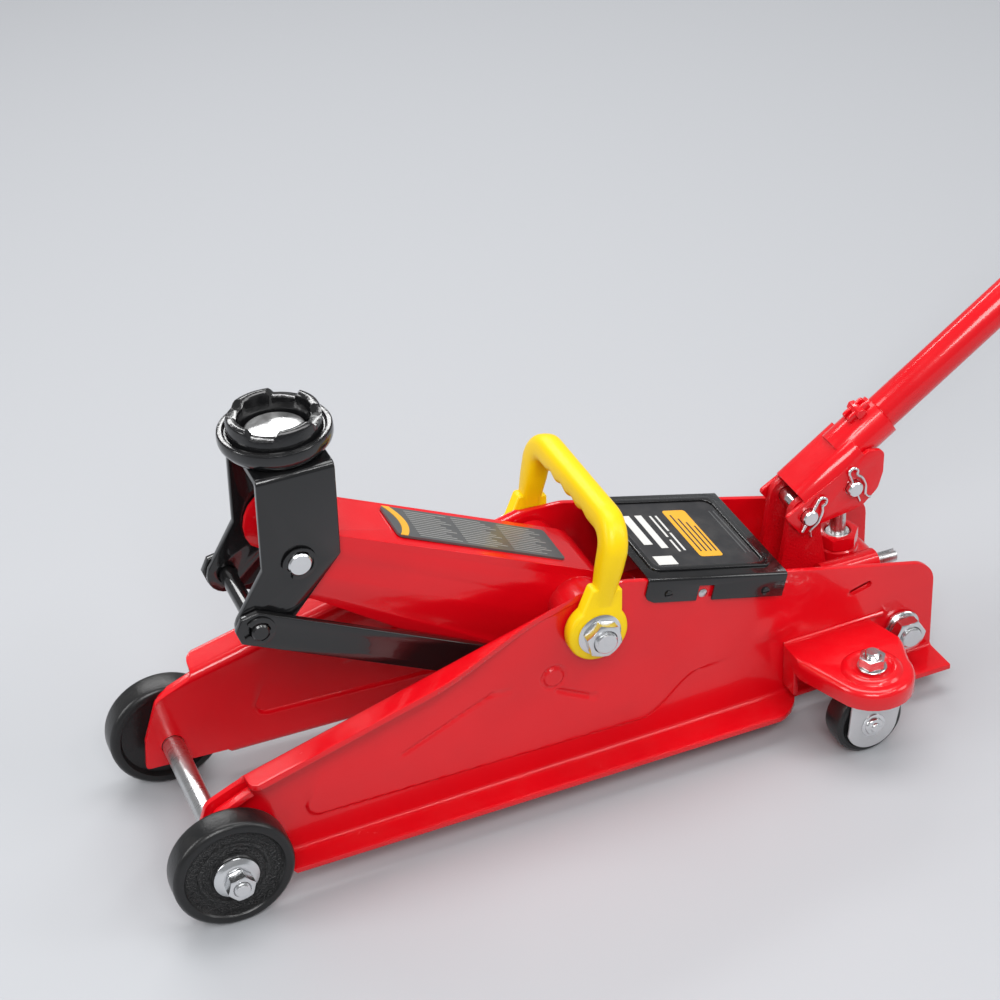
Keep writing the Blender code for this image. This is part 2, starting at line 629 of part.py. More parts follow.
def add_tie_rods(jack):
    """The levelling tie rods, their common front pin with rings, and the rear studs."""
    rx, rz = tie_rod_pivot()
    swing = jack.frame("tie_rod_axis", (rx, 0, rz), jack.root)
    h = TIE_HALF_HEIGHT
    bar = (arc((0, 0), h, -90, 90, 8) + [(-ARM_LENGTH - 0.004, h), (-ARM_LENGTH - 0.011, 0.004),
                                         (-ARM_LENGTH - 0.011, -0.004),
                                         (-ARM_LENGTH - 0.006, -h)])
    outer = TIE_INNER_Y + TIE_THICKNESS
    front = (-ARM_LENGTH * math.cos(ARM_ANGLE), ARM_LENGTH * math.sin(ARM_ANGLE))
    for side, word in ((-1, "right"), (1, "left")):
        low, high = sorted((side * TIE_INNER_Y, side * outer))
        jack.piece(f"tie_rod_{word}", BLACK, slab(bar, low, high), swing,
                   cut=[rod(0.0053, -0.05, 0.05, sides=20),
                        rod(TIE_PIN_RADIUS + GAP, -0.05, 0.05, at=(-ARM_LENGTH, 0), sides=20)],
                   turn=(0, ARM_ANGLE, 0))
        low, high = sorted((side * (outer + GAP), side * (outer + 0.0015)))
        jack.piece(f"tie_rod_ring_{word}", BLACK, rod(0.0078, low, high, at=front, sides=20),
                   swing, cut=[rod(TIE_PIN_RADIUS + GAP, -0.05, 0.05, at=front, sides=20)])
        head = sorted((side * (TIE_INNER_Y - 0.0018), side * (TIE_INNER_Y - GAP)))
        shank = sorted((side * (TIE_INNER_Y - 0.001), side * (PLATE_HALF_WIDTH + 0.0002)))
        jack.piece(f"tie_rod_stud_{word}", STEEL, rod(0.005, *shank, at=(rx, rz), sides=20),
                   joined=[rod(0.0078, *head, at=(rx, rz), sides=20)])
    pin_end = outer + 0.0028
    jack.piece("tie_rod_pin", BLACK, rod(TIE_PIN_RADIUS, -pin_end, pin_end, at=front, sides=20),
               swing)


def add_hydraulics(jack):
    """Base casting, reservoir, ram, pump, release valve, filler plug and trunnion bolts."""
    fx, fz = FULCRUM
    bore = RAM_RADIUS + 0.0004
    x0, x1 = RESERVOIR_X
    jack.piece("reservoir", RED, rod(RESERVOIR_RADIUS, x0, x1, "X", (0, RAM_Z), 32),
               cut=[rod(bore, x0 - 0.01, x1 + 0.01, "X", (0, RAM_Z))])
    jack.piece("gland_nut", ZINC, hexagon(0.030, x0 - 0.0055, x0 - GAP, "X", (0, RAM_Z)),
               cut=[rod(bore, x0 - 0.02, x0 + 0.02, "X", (0, RAM_Z))])
    face = PIVOT[0] + ROLLER_RADIUS + RAM_CONTACT_GAP
    ram = jack.frame("ram_axis", (face, 0, RAM_Z), jack.root)
    jack.piece("ram_head", STEEL, block((0, -0.0115, -0.0115), (0.0070, 0.0115, 0.0115)), ram)
    jack.piece("piston_rod", STEEL, rod(RAM_RADIUS, 0.0070 + GAP, 0.0840, "X"), ram)

    bx0, bx1 = BASE_X
    ears = []
    for side in (-1, 1):
        ear = (arc((fx, fz), 0.0098, 0, 180, 8)
               + [(0.3340, 0.0900), (0.3290, 0.0640), (0.3290, 0.0560), (0.3600, 0.0560),
                  (0.3600, 0.0720), (fx + 0.0098, 0.0950)])
        ears.append(slab(ear, *sorted((side * 0.0088, side * 0.0129))))
    body = slab(rounded([(bx0, 0.0300, 0.004), (bx0, BASE_TOP_Z), (0.3960, BASE_TOP_Z, 0.008),
                         (bx1, 0.0520), (bx1, 0.0260, 0.006), (0.3760, 0.0240)]), -0.0240, 0.0240)
    bosses = rod(0.0125, -0.0350, 0.0350, at=TRUNNION, sides=24)
    pedestal = block((0.3530, VALVE_Y - 0.0035, BASE_TOP_Z - 0.002),
                     (0.3800, VALVE_Y + 0.0050, VALVE_Z - 0.0072 - GAP))
    pump_boss = rod(PUMP_RADIUS + 0.0018, 0.0500, BASE_TOP_Z + 0.0035, "Z", (PUMP_X, 0), 24)
    jack.piece("pump_base", IRON, body, joined=[bosses, pump_boss, pedestal, *ears],
               cut=[rod(LINK_PIN_RADIUS + GAP, -0.05, 0.05, at=FULCRUM, sides=20),
                    rod(PLUNGER_RADIUS + GAP, 0.0440, 0.0900, "Z", (PUMP_X, 0), 24),
                    rod(0.0066, -0.06, -0.0250, at=TRUNNION, sides=20),
                    rod(0.0066, 0.0250, 0.06, at=TRUNNION, sides=20)])
    low = BASE_TOP_Z + 0.0035 + GAP
    jack.piece("pump_cylinder", RED, rod(PUMP_RADIUS, low, PUMP_TOP_Z - 0.008, "Z",
                                         (PUMP_X, 0), 24),
               joined=[hexagon(0.021, PUMP_TOP_Z - 0.009, PUMP_TOP_Z, "Z", (PUMP_X, 0))],
               cut=[rod(PLUNGER_RADIUS + GAP, 0.04, 0.1, "Z", (PUMP_X, 0), 24)])
    plunger = jack.frame("plunger_axis", (PUMP_X, 0, PUMP_TOP_Z), jack.root)
    jack.piece("pump_plunger", STEEL, rod(PLUNGER_RADIUS, -0.0190, 0.0302, "Z", sides=24),
               plunger)
    sleeve = rod(0.0072, 0.3520, 0.3860, "X", (VALVE_Y, VALVE_Z), 20)
    jack.piece("valve_sleeve", RED, sleeve,
               cut=[rod(0.0040, 0.3600, 0.3900, "X", (VALVE_Y, VALVE_Z), 16)])
    turn_axis = jack.frame("valve_axis", (0.3860, VALVE_Y, VALVE_Z), jack.root)
    jack.piece("valve_spindle", STEEL, rod(0.0036, -0.0200, 0.0125, "X", sides=16), turn_axis,
               cut=[block((0.0085, -0.0009, -0.005), (0.02, 0.0009, 0.005))])
    jack.piece("filler_plug", ZINC,
               hexagon(0.0085, BASE_TOP_Z + GAP, BASE_TOP_Z + 0.0050, "Z", (0.3720, 0.0190)))
    for side, word in ((-1, "right"), (1, "left")):
        web = PLATE_HALF_WIDTH - (TRUNNION[0] - PIVOT[0]) * math.tan(TOE_IN)
        start = web + 0.0006
        stud = rod(0.006, *sorted((side * 0.0255, side * (start + 0.0125))), at=TRUNNION,
                   sides=20)
        washer = rod(0.0108, *sorted((side * start, side * (start + 0.0020))), at=TRUNNION)
        nut = hexagon(0.018, *sorted((side * (start + 0.0015), side * (start + 0.0100))),
                      at=TRUNNION)
        jack.piece(f"trunnion_bolt_{word}", ZINC, stud, joined=[washer, nut])


def add_cover(jack):
    """The bent sheet cover over the cylinder, with two of its screws."""
    x0, x1 = COVER_X
    length = (x1 - x0) / math.cos(COVER_SLOPE)
    w, t, d = COVER_HALF_WIDTH, COVER_SHEET, COVER_DEPTH
    section = rounded([(-w, -d), (-w, 0, 0.002), (w, 0, 0.002), (w, -d), (w - t, -d),
                       (w - t, -t, 0.0008), (-w + t, -t, 0.0008), (-w + t, -d)], 3)
    notch = block((0.0310, -0.06, -0.0200), (0.0400, -0.03, -0.0055))
    corner = slab([(-0.001, -d + 0.006), (-0.001, -0.03), (0.006, -0.03), (0.006, -d),
                   (0.0018, -d + 0.0018)], -0.06, 0.06)
    jack.piece("cover", BLACK, slab(section, 0, length, "YZ"),
               cut=[notch, corner], place=(x0, 0, COVER_FRONT_Z), turn=(0, COVER_SLOPE, 0))
    for side, word in ((-1, "right"), (1, "left")):
        low, high = sorted((side * (w + GAP), side * (w + 0.0014)))
        jack.piece(f"cover_screw_{word}", BLACK, rod(0.0024, low, high, at=(0.3065, 0.0905),
                                                     sides=12))


def add_carry_handle(jack):
    """The moulded carry handle that swings on the main pivot."""
    swing = jack.frame("carry_axis", (PIVOT[0], 0, PIVOT[1]), jack.root)
    w, inner = CARRY_HALF_WIDTH, CARRY_INNER_Y
    grip_low = CARRY_TOP - 0.0150
    outline = rounded([(-w, 0.006), (-w, CARRY_TOP, 0.012), (w, CARRY_TOP, 0.012), (w, 0.006),
                       (inner, 0.006), (inner - 0.0005, grip_low, 0.008),
                       (-inner + 0.0005, grip_low, 0.008), (-inner, 0.006)])
    eyes = [rod(0.0165, *sorted((side * inner, side * w))) for side in (-1, 1)]
    handle = jack.piece("carry_handle", YELLOW,
                        slab(outline, -CARRY_HALF_THICKNESS, CARRY_HALF_THICKNESS, "YZ"),
                        swing, joined=eyes, turn=(0, CARRY_ANGLE, 0))
    jack.helper(rod(PIVOT_THREAD_RADIUS + 0.0004, -0.06, 0.06, sides=20), handle,
                "DIFFERENCE", 3)


def spring_clip():
    """A spring clip: a straight leg through the pin's cross hole, a loop and a leg round the pin."""
    loop = arc((0.0026, 0.0105), 0.0026, 180, -60, 8)
    path = [(0.0, -0.0080), *loop, (0.0062, 0.0040), (0.0062, -0.0035), (0.0040, -0.0070),
            (0.0055, -0.0100)]
    return wire([(x, 0, z) for x, z in path], CLIP_WIRE_RADIUS)


def add_handle(jack):
    """Socket, linkage pins, clips and the two-piece handle, along the handle's direction."""
    fx, fz = FULCRUM
    swing = jack.frame("socket_axis", (fx, 0, fz), jack.root)
    lean = (0, -HANDLE_ANGLE, 0)
    o = HANDLE_OFFSET
    side_plate = rounded([(-0.0096, -0.0085, 0.003), (-0.0100, 0.0095, 0.002), (0.0470, 0.0050),
                          (0.0540, -0.0020, 0.004), (0.0460, -0.0130, 0.005),
                          (0.0380, -0.0195, 0.008), (0.0260, -0.0212, 0.006),
                          (0.0180, -0.0182), (-0.0010, -0.0085)], 4)
    y0, y1 = SOCKET_SIDE_Y
    wall = y1 - y0
    crown = 0.0142
    outside = rounded([(-y1, 0.0), (-y1, crown, 0.0085), (y1, crown, 0.0085), (y1, 0.0)], 6)
    inside = rounded([(-y0, -0.001), (-y0, crown - wall, 0.0025), (y0, crown - wall, 0.0025),
                      (y0, -0.001)], 4)
    wrap = rod(SOCKET_RADIUS, SOCKET_START, SOCKET_END, "X", (0, o), 28)
    jack.piece("handle_socket", RED, slab(outside, 0.0035, 0.0440, "YZ"), swing,
               joined=[slab(side_plate, -y1, -y0), slab(side_plate, y0, y1), wrap],
               cut=[slab(inside, 0.0005, SOCKET_START, "YZ"),
                    rod(HANDLE_RADIUS + 0.0004, HANDLE_START - 0.0008, 0.08, "X", (0, o), 28),
                    rod(LINK_PIN_RADIUS + GAP, -0.05, 0.05, sides=20),
                    rod(LINK_PIN_RADIUS + GAP, -0.05, 0.05, at=PLUNGER_PIN, sides=20)],
               turn=lean)
    pin_end = y1 + 0.0036
    clip_y = -(y1 + 0.0018)
    clip_bore = CLIP_WIRE_RADIUS + GAP
    c, n = math.cos(HANDLE_ANGLE), math.sin(HANDLE_ANGLE)
    px, pz = PLUNGER_PIN
    moving_pin = (px * c - pz * n, 0, px * n + pz * c)
    for word, parent, place, look in (("fulcrum", None, (fx, 0, fz), 0.5),
                                      ("plunger", swing, moving_pin, -0.35)):
        spot = (place[0], clip_y, place[2])
        jack.piece(f"{word}_pin", ZINC, rod(LINK_PIN_RADIUS, -pin_end, pin_end, sides=20), parent,
                   cut=[rod(clip_bore, -0.02, 0.02, "Z", (0, clip_y), 10)], place=place,
                   turn=(0, look, 0))
        jack.piece(f"{word}_clip", ZINC, spring_clip(), parent, place=spot, turn=(0, look, 0))
    slide = jack.frame("handle_axis", (0, 0, 0), swing, lean)
    joint, end = HANDLE_JOINT, HANDLE_END
    hollow = HANDLE_RADIUS - HANDLE_WALL
    jack.piece("handle_lower", RED, rod(HANDLE_RADIUS, HANDLE_START, joint, "X", (0, o), 28),
               slide, cut=[rod(hollow, HANDLE_START - 0.01, joint + 0.01, "X", (0, o), 28)])
    jack.piece("handle_upper", RED,
               rod(HANDLE_RADIUS, joint + GAP, end - 0.002, "X", (0, o), 28), slide,
               cut=[rod(hollow, joint - 0.01, end + 0.01, "X", (0, o), 28)])
    grip_start = end - 0.105
    jack.piece("handle_grip", GRIP, rod(GRIP_RADIUS, grip_start, end, "X", (0, o), 28), slide,
               cut=[rod(HANDLE_RADIUS + GAP, grip_start - 0.01, end - 0.0015, "X", (0, o), 28)])


def main():
    """Build the whole jack."""
    clear_scene()
    jack = Jack()
    add_front_end(jack)
    add_side_plates(jack)
    add_casters(jack)
    add_main_pivot(jack)
    add_lift_arm(jack)
    add_saddle_bracket(jack)
    add_saddle(jack)
    add_tie_rods(jack)
    add_hydraulics(jack)
    add_cover(jack)
    add_carry_handle(jack)
    add_handle(jack)


main()
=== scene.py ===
"""Compact hydraulic floor jack: the finished surfaces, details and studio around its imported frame.

Metres, +Z up. +X runs from the front wheels to the handle and -Y is the jack's right-hand side. Places are
worked out from the frame's joints and boxes; stations along the chassis are distances behind the front axle.
"""

import json
import math

import bmesh
import bpy
from bpy.props import FloatProperty, FloatVectorProperty, IntProperty, PointerProperty
from mathutils import Matrix, Vector


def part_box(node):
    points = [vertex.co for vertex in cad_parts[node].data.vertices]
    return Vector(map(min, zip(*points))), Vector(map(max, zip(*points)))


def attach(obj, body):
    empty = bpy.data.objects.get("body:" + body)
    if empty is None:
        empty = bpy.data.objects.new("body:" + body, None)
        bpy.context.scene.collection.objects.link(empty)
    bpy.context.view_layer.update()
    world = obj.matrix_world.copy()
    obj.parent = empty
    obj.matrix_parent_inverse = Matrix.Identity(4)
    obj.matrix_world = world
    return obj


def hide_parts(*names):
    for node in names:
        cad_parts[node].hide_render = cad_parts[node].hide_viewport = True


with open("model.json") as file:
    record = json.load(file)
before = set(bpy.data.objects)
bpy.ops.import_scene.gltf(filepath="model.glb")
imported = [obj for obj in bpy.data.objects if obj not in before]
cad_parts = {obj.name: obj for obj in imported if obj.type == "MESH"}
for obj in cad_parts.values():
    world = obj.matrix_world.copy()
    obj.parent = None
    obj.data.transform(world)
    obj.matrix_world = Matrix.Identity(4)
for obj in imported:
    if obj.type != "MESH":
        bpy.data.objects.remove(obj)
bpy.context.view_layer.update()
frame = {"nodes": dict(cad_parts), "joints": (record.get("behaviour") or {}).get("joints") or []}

bl_info = {
    "name": "Floor jack builder",
    "version": (1, 0, 0),
    "blender": (4, 5, 0),
    "location": "View3D > Sidebar > Jack",
    "description": "Builds the finished pieces, materials and studio of a hydraulic floor jack",
    "category": "Object",
}

JOINTS = {joint["name"]: joint for joint in frame["joints"]}


def joint_place(name):
    """A joint's point at rest."""
    return Vector(JOINTS[name]["pos_m"])


AXLE = Vector((joint_place("front_wheel_right_spin").x, 0, joint_place("front_wheel_right_spin").z))
PIVOT = joint_place("lift")
BRACKET_PIN = joint_place("bracket_level")
TIE_PIVOT = joint_place("tie_rod_swing")
FULCRUM = joint_place("pump_stroke")
SADDLE_AXIS = joint_place("saddle_spin")
ARM_TILT = math.atan2(BRACKET_PIN.z - PIVOT.z, PIVOT.x - BRACKET_PIN.x)
ARM_LENGTH = (BRACKET_PIN - PIVOT).length
HANDLE_AXIS = Vector(JOINTS["handle_pull"]["axis"])
HANDLE_TILT = math.atan2(HANDLE_AXIS.z, HANDLE_AXIS.x)
ARM_FRAME = Matrix.Translation(PIVOT) @ Matrix.Rotation(ARM_TILT, 4, "Y")
HANDLE_FRAME = Matrix.Translation(FULCRUM) @ Matrix.Rotation(-HANDLE_TILT, 4, "Y")

# Side plates: sheet thickness, half the width over them at the pivot, toe-in, inner bend radius, height of the
# bottom flange's upper face and two points of the top line
SHEET = 0.003
PLATE_HALF_WIDTH = 0.0427
TOE_IN = math.radians(1.2)
BEND_RADIUS = 0.0022
BOTTOM_Z = 0.017
TOP_LINE = ((0.0160, 0.0740), (0.1900, 0.1195))
SIDES = ((-1, "right"), (1, "left"))

# Camera: where it looks, how far away it stands, how it is turned and its lens in millimetres
CAMERA_TARGET = Vector((0.1866, 0.0263, 0.1424))
CAMERA_DISTANCE = 1.245
CAMERA_AZIMUTH = math.radians(20.64)
CAMERA_ELEVATION = math.radians(33.37)
CAMERA_ROLL = math.radians(-3.38)
CAMERA_LENS = 85.75
FLOOR_SIZE = 12
FLOOR_COLOUR = (0.41, 0.42, 0.44, 1)
SKY_COLOUR = (0.95, 0.97, 1.0, 1)
SKY_STRENGTH = 0.30
# Lights: name, place, width, height and power
LIGHTS = (("key", (-0.7, -1.5, 1.7), 1.1, 0.7, 27), ("top", (0.1, 0.4, 2.1), 1.8, 1.0, 27),
          ("fill", (1.7, -1.0, 1.1), 0.8, 1.0, 10), ("left", (-1.8, 0.2, 1.0), 0.6, 1.0, 12),
          ("strip", (0.5, -0.9, 1.5), 1.0, 0.12, 6), ("back strip", (-0.1, 1.3, 1.1), 1.4, 0.15, 8))
LIGHT_TARGET = (-0.10, 0, 0.08)


# ---------------------------------------------------------------------------------------------------------
# Settings a user may change


def colour_setting(name, description, default):
    """A colour that a user may change."""
    return FloatVectorProperty(name=name, description=description, default=default, subtype="COLOR", size=3,
                               min=0, max=1)


def length_setting(name, description, default, low, high):
    """A length that a user may change."""
    return FloatProperty(name=name, description=description, default=default, min=low, max=high, unit="LENGTH")


class JackColours(bpy.types.PropertyGroup):
    """Colours of the jack's finishes."""

    red: colour_setting("Red enamel", "Chassis, arm, socket and handle paint", (0.72, 0.0015, 0.0075))
    black: colour_setting("Black enamel", "Bracket, tie rods and cover paint", (0.006, 0.006, 0.0065))
    wheel: colour_setting("Wheel black", "Cast wheels and casters", (0.011, 0.011, 0.0115))
    zinc: colour_setting("Zinc plate", "Nuts, washers and pins", (0.80, 0.81, 0.82))
    steel: colour_setting("Bare steel", "Axle, ram and plunger", (0.66, 0.66, 0.66))
    yellow: colour_setting("Yellow plastic", "Moulded carry handle", (0.90, 0.61, 0.001))
    label: colour_setting("Label ground", "Dark ground of the printed labels", (0.020, 0.020, 0.022))
    orange: colour_setting("Label accent", "Accent stripe and panel of the labels", (0.86, 0.42, 0.02))
    print_white: colour_setting("Label print", "Pale bars of the labels", (0.72, 0.72, 0.70))


class JackSizes(bpy.types.PropertyGroup):
    """Sizes of the jack's fine shapes."""

    arm_bend: length_setting("Arm bend", "Radius of the lift arm's long bends", 0.0062, 0.001, 0.008)
    emboss: length_setting("Embossing", "Height of the side plates' pressed field", 0.0013, 0.0, 0.002)
    thread_pitch: length_setting("Thread pitch", "Distance between screw thread crests", 0.00125, 0.0005, 0.002)
    scallop: length_setting("Finger scallop", "Depth of the carry handle's finger scallops", 0.0025, 0.0, 0.003)
    steps: IntProperty(name="Round steps", description="Facets round a turned piece", default=64, min=24,
                       max=128)


def colours():
    """The colour settings."""
    return bpy.context.scene.jack_colours


def sizes():
    """The size settings."""
    return bpy.context.scene.jack_sizes


# ---------------------------------------------------------------------------------------------------------
# Modelling tools


def clear_selection():
    """Deselect everything before a primitive is added."""
    if bpy.context.mode != "OBJECT":
        bpy.ops.object.mode_set(mode="OBJECT")
    bpy.ops.object.select_all(action="DESELECT")


def select_only(piece):
    """Leave just this object selected and active."""
    clear_selection()
    piece.select_set(True)
    bpy.context.view_layer.objects.active = piece


def added(name):
    """The primitive that was just added, with its name."""
    piece = bpy.context.active_object
    piece.name = name
    piece.data.name = name
    return piece


def in_edit_mode(piece, *steps):
    """Run edit-mode steps on all of a piece."""
    select_only(piece)
    bpy.ops.object.mode_set(mode="EDIT")
    bpy.ops.mesh.select_all(action="SELECT")
    for step in steps:
        step()
    bpy.ops.object.mode_set(mode="OBJECT")


def face_outwards():
    """Merge doubles and turn the selected faces outwards."""
    bpy.ops.mesh.remove_doubles(threshold=2e-6)
    bpy.ops.mesh.normals_make_consistent(inside=False)


def apply_all(piece):
    """Apply every modifier of a piece."""
    select_only(piece)
    for modifier in list(piece.modifiers):
        bpy.ops.object.modifier_apply(modifier=modifier.name)


def moved(piece, matrix):
    """Put a matrix into a piece's mesh."""
    piece.data.transform(matrix)
    piece.data.update()
    return piece


def in_mm(points, base=0.0):
    """A profile in metres, from (radius, height) in millimetres with the heights counted from a base."""
    return [(radius / 1000, base + height / 1000) for radius, height in points]


def arc(centre, radius, start, end, steps=8):
    """Points on an arc, with angles in degrees."""
    found = []
    for step in range(steps + 1):
        angle = math.radians(start + (end - start) * step / steps)
        found.append((centre[0] + radius * math.cos(angle), centre[1] + radius * math.sin(angle)))
    return found


def rounded(corners, steps=6):
    """An outline from (a, b) or (a, b, radius) corners, with the rounded ones as arcs."""
    points = []
    count = len(corners)
    for index, corner in enumerate(corners):
        here = Vector(corner[:2])
        radius = corner[2] if len(corner) > 2 else 0
        if not radius:
            points.append(tuple(here))
            continue
        back = (Vector(corners[index - 1][:2]) - here).normalized()
        ahead = (Vector(corners[(index + 1) % count][:2]) - here).normalized()
        half = back.angle(ahead) / 2
        centre = here + (back + ahead).normalized() * radius / math.sin(half)
        reach = radius / math.tan(half)
        first = here + back * reach - centre
        swing = first.angle_signed(here + ahead * reach - centre)
        for step in range(steps + 1):
            angle = -swing * step / steps
            cosine, sine = math.cos(angle), math.sin(angle)
            points.append((centre.x + first.x * cosine - first.y * sine,
                           centre.y + first.x * sine + first.y * cosine))
    return points


def plate(name, outline, low, high, plane="XZ"):
    """A flat outline given thickness: a filled circle primitive reshaped to the outline and extruded."""
    spot = {"XZ": lambda a, b, c: (a, c, b), "XY": lambda a, b, c: (a, b, c), "YZ": lambda a, b, c: (c, a, b)}
    place = spot[plane]
    clear_selection()
    bpy.ops.mesh.primitive_circle_add(vertices=len(outline), radius=1, fill_type="NGON")
    piece = added(name)
    for vertex, (a, b) in zip(piece.data.vertices, outline):
        vertex.co = place(a, b, low)
    push = Vector(place(0, 0, high - low))
    in_edit_mode(piece,
                 lambda: bpy.ops.mesh.extrude_region_move(TRANSFORM_OT_translate={"value": push}),
                 lambda: bpy.ops.mesh.select_all(action="SELECT"), face_outwards)
    return piece


AXES = {"X": Vector((1, 0, 0)), "Y": Vector((0, 1, 0)), "Z": Vector((0, 0, 1))}
SPOKES = {"X": Vector((0, 0, 1)), "Y": Vector((1, 0, 0)), "Z": Vector((1, 0, 0))}


def turned(name, profile, axis, centre, steps=None, flip=False):
    """A closed (radius, height) profile spun about an axis: a circle primitive reshaped, then spun."""
    centre = Vector(centre)
    along = AXES[axis] * (-1 if flip else 1)
    clear_selection()
    bpy.ops.mesh.primitive_circle_add(vertices=len(profile), radius=1, fill_type="NOTHING")
    piece = added(name)
    for vertex, (radius, height) in zip(piece.data.vertices, profile):
        vertex.co = centre + SPOKES[axis] * radius + along * height
    count = steps or sizes().steps
    in_edit_mode(piece,
                 lambda: bpy.ops.mesh.spin(steps=count, angle=math.tau, center=centre, axis=AXES[axis]),
                 lambda: bpy.ops.mesh.select_all(action="SELECT"), face_outwards)
    return piece


def rod(name, radius, low, high, axis, centre, sides=48, chamfer=0.0):
    """A round bar along an axis, with chamfered ends."""
    c = chamfer
    profile = [(0, low), (radius - c, low), (radius, low + c), (radius, high - c), (radius - c, high), (0, high)]
    if not c:
        profile = [(0, low), (radius, low), (radius, high), (0, high)]
    return turned(name, profile, axis, centre, sides)


def threaded(name, radius, low, high, axis, centre, sides=32):
    """A screw thread: a bar whose crests and roots repeat at the thread's pitch."""
    pitch = sizes().thread_pitch
    depth = 0.55 * pitch
    count = max(2, int((high - low) / pitch))
    pitch = (high - low) / count
    profile = [(0, low), (radius - depth, low)]
    for index in range(count):
        foot = low + index * pitch
        profile += [(radius - depth, foot + 0.10 * pitch), (radius, foot + 0.45 * pitch),
                    (radius, foot + 0.60 * pitch)]
    profile += [(radius - depth, high), (0, high)]
    return turned(name, profile, axis, centre, sides)


def boolean(piece, tool, operation="DIFFERENCE"):
    """Join or cut with another piece, which is used up."""
    modifier = piece.modifiers.new(operation, "BOOLEAN")
    modifier.object = tool
    modifier.operation = operation
    modifier.solver = "EXACT"
    apply_all(piece)
    bpy.data.objects.remove(tool, do_unlink=True)
    return piece


def soften(piece, width, segments=2, angle=30.0):
    """Round the edges of a piece that are sharper than an angle."""
    modifier = piece.modifiers.new("edges", "BEVEL")
    modifier.width = width
    modifier.segments = segments
    modifier.limit_method = "ANGLE"
    modifier.angle_limit = math.radians(angle)
    modifier.use_clamp_overlap = True
    modifier.miter_outer = "MITER_ARC"
    apply_all(piece)
    return piece


def hex_piece(name, flats, low, high, axis, centre, bore=0.0, turn=0.0):
    """A hexagon nut or head with its corners turned off at both ends, and a bore with a lead-in."""
    centre = Vector(centre)
    radius = flats / math.sqrt(3)
    tilt = {"X": (0, math.pi / 2, 0), "Y": (math.pi / 2, 0, 0), "Z": (0, 0, 0)}[axis]
    clear_selection()
    middle = centre + AXES[axis] * (low + high) / 2
    bpy.ops.mesh.primitive_cylinder_add(vertices=6, radius=radius, depth=abs(high - low), location=middle,
                                        rotation=tilt)
    piece = added(name)
    select_only(piece)
    bpy.ops.object.transform_apply(location=True, rotation=True, scale=True)
    if turn:
        spin = Matrix.Rotation(turn, 4, axis)
        moved(piece, Matrix.Translation(centre) @ spin @ Matrix.Translation(-centre))
    soften(piece, 0.00025, 2)
    face = 0.485 * flats
    drop = (radius * 1.02 - face) * 0.55
    low, high = min(low, high), max(low, high)
    cone = [(0, low), (face, low), (radius * 1.02, low + drop), (radius * 1.02, high - drop), (face, high),
            (0, high)]
    boolean(piece, turned("chamfer", cone, axis, centre, 48), "INTERSECT")
    if bore:
        lead = 0.0006
        past = 0.001
        hole = [(0, low - past), (bore + lead + past, low - past), (bore, low + lead), (bore, high - lead),
                (bore + lead + past, high + past), (0, high + past)]
        boolean(piece, turned("bore", hole, axis, centre, 40))
    return piece


def wire(name, points, radius, smooth=True):
    """A round wire along points, as a mesh with closed ends."""
    curve = bpy.data.curves.new(name, "CURVE")
    curve.dimensions = "3D"
    curve.bevel_depth = radius
    curve.bevel_resolution = 3
    curve.resolution_u = 6
    curve.use_fill_caps = True
    spline = curve.splines.new("NURBS" if smooth else "POLY")
    spline.points.add(len(points) - 1)
    for target, source in zip(spline.points, points):
        target.co = (*source, 1)
    if smooth:
        spline.order_u = 3
        spline.use_endpoint_u = True
    piece = bpy.data.objects.new(name, curve)
    bpy.context.scene.collection.objects.link(piece)
    select_only(piece)
    bpy.ops.object.convert(target="MESH")
    piece = bpy.context.active_object
    in_edit_mode(piece, face_outwards)
    return piece


def box_piece(name, low, high):
    """A block between two corners."""
    clear_selection()
    middle = [(a + b) / 2 for a, b in zip(low, high)]
    bpy.ops.mesh.primitive_cube_add(size=1, location=middle)
    piece = added(name)
    piece.scale = [b - a for a, b in zip(low, high)]
    select_only(piece)
    bpy.ops.object.transform_apply(location=True, rotation=True, scale=True)
    return piece


def merged_copy(node, name):
    """A copy of a frame node's mesh, merged and with its flat faces whole again."""
    piece = bpy.data.objects.new(name, frame["nodes"][node].data.copy())
    piece.data.name = name
    bpy.context.scene.collection.objects.link(piece)
    piece.data.materials.clear()
    select_only(piece)
    if piece.data.has_custom_normals:
        bpy.ops.mesh.customdata_custom_splitnormals_clear()
    in_edit_mode(piece, lambda: bpy.ops.mesh.remove_doubles(threshold=1e-5),
                 lambda: bpy.ops.mesh.dissolve_limited(angle_limit=math.radians(0.6)))
    return piece


def folded_grid(name, rows, columns, place):
    """A grid primitive whose points are put where place(row, column) says."""
    clear_selection()
    bpy.ops.mesh.primitive_grid_add(x_subdivisions=rows, y_subdivisions=columns, size=2)
    piece = added(name)
    for vertex in piece.data.vertices:
        row = round((vertex.co.x + 1) / 2 * rows)
        column = round((vertex.co.y + 1) / 2 * columns)
        vertex.co = place(row, column)
    return piece


def sheet_of(piece, thickness, offset):
    """A folded grid made a closed sheet of a thickness."""
    solid = piece.modifiers.new("sheet", "SOLIDIFY")
    solid.thickness = thickness
    solid.offset = offset
    apply_all(piece)
    in_edit_mode(piece, face_outwards)
    return piece


def loft(name, rings):
    """A closed skin through rings of equal length, whose first and last rings close to a point."""
    columns = len(rings[0])
    piece = folded_grid(name, len(rings) - 1, columns, lambda row, column: rings[row][column % columns])
    in_edit_mode(piece, face_outwards)
    return piece


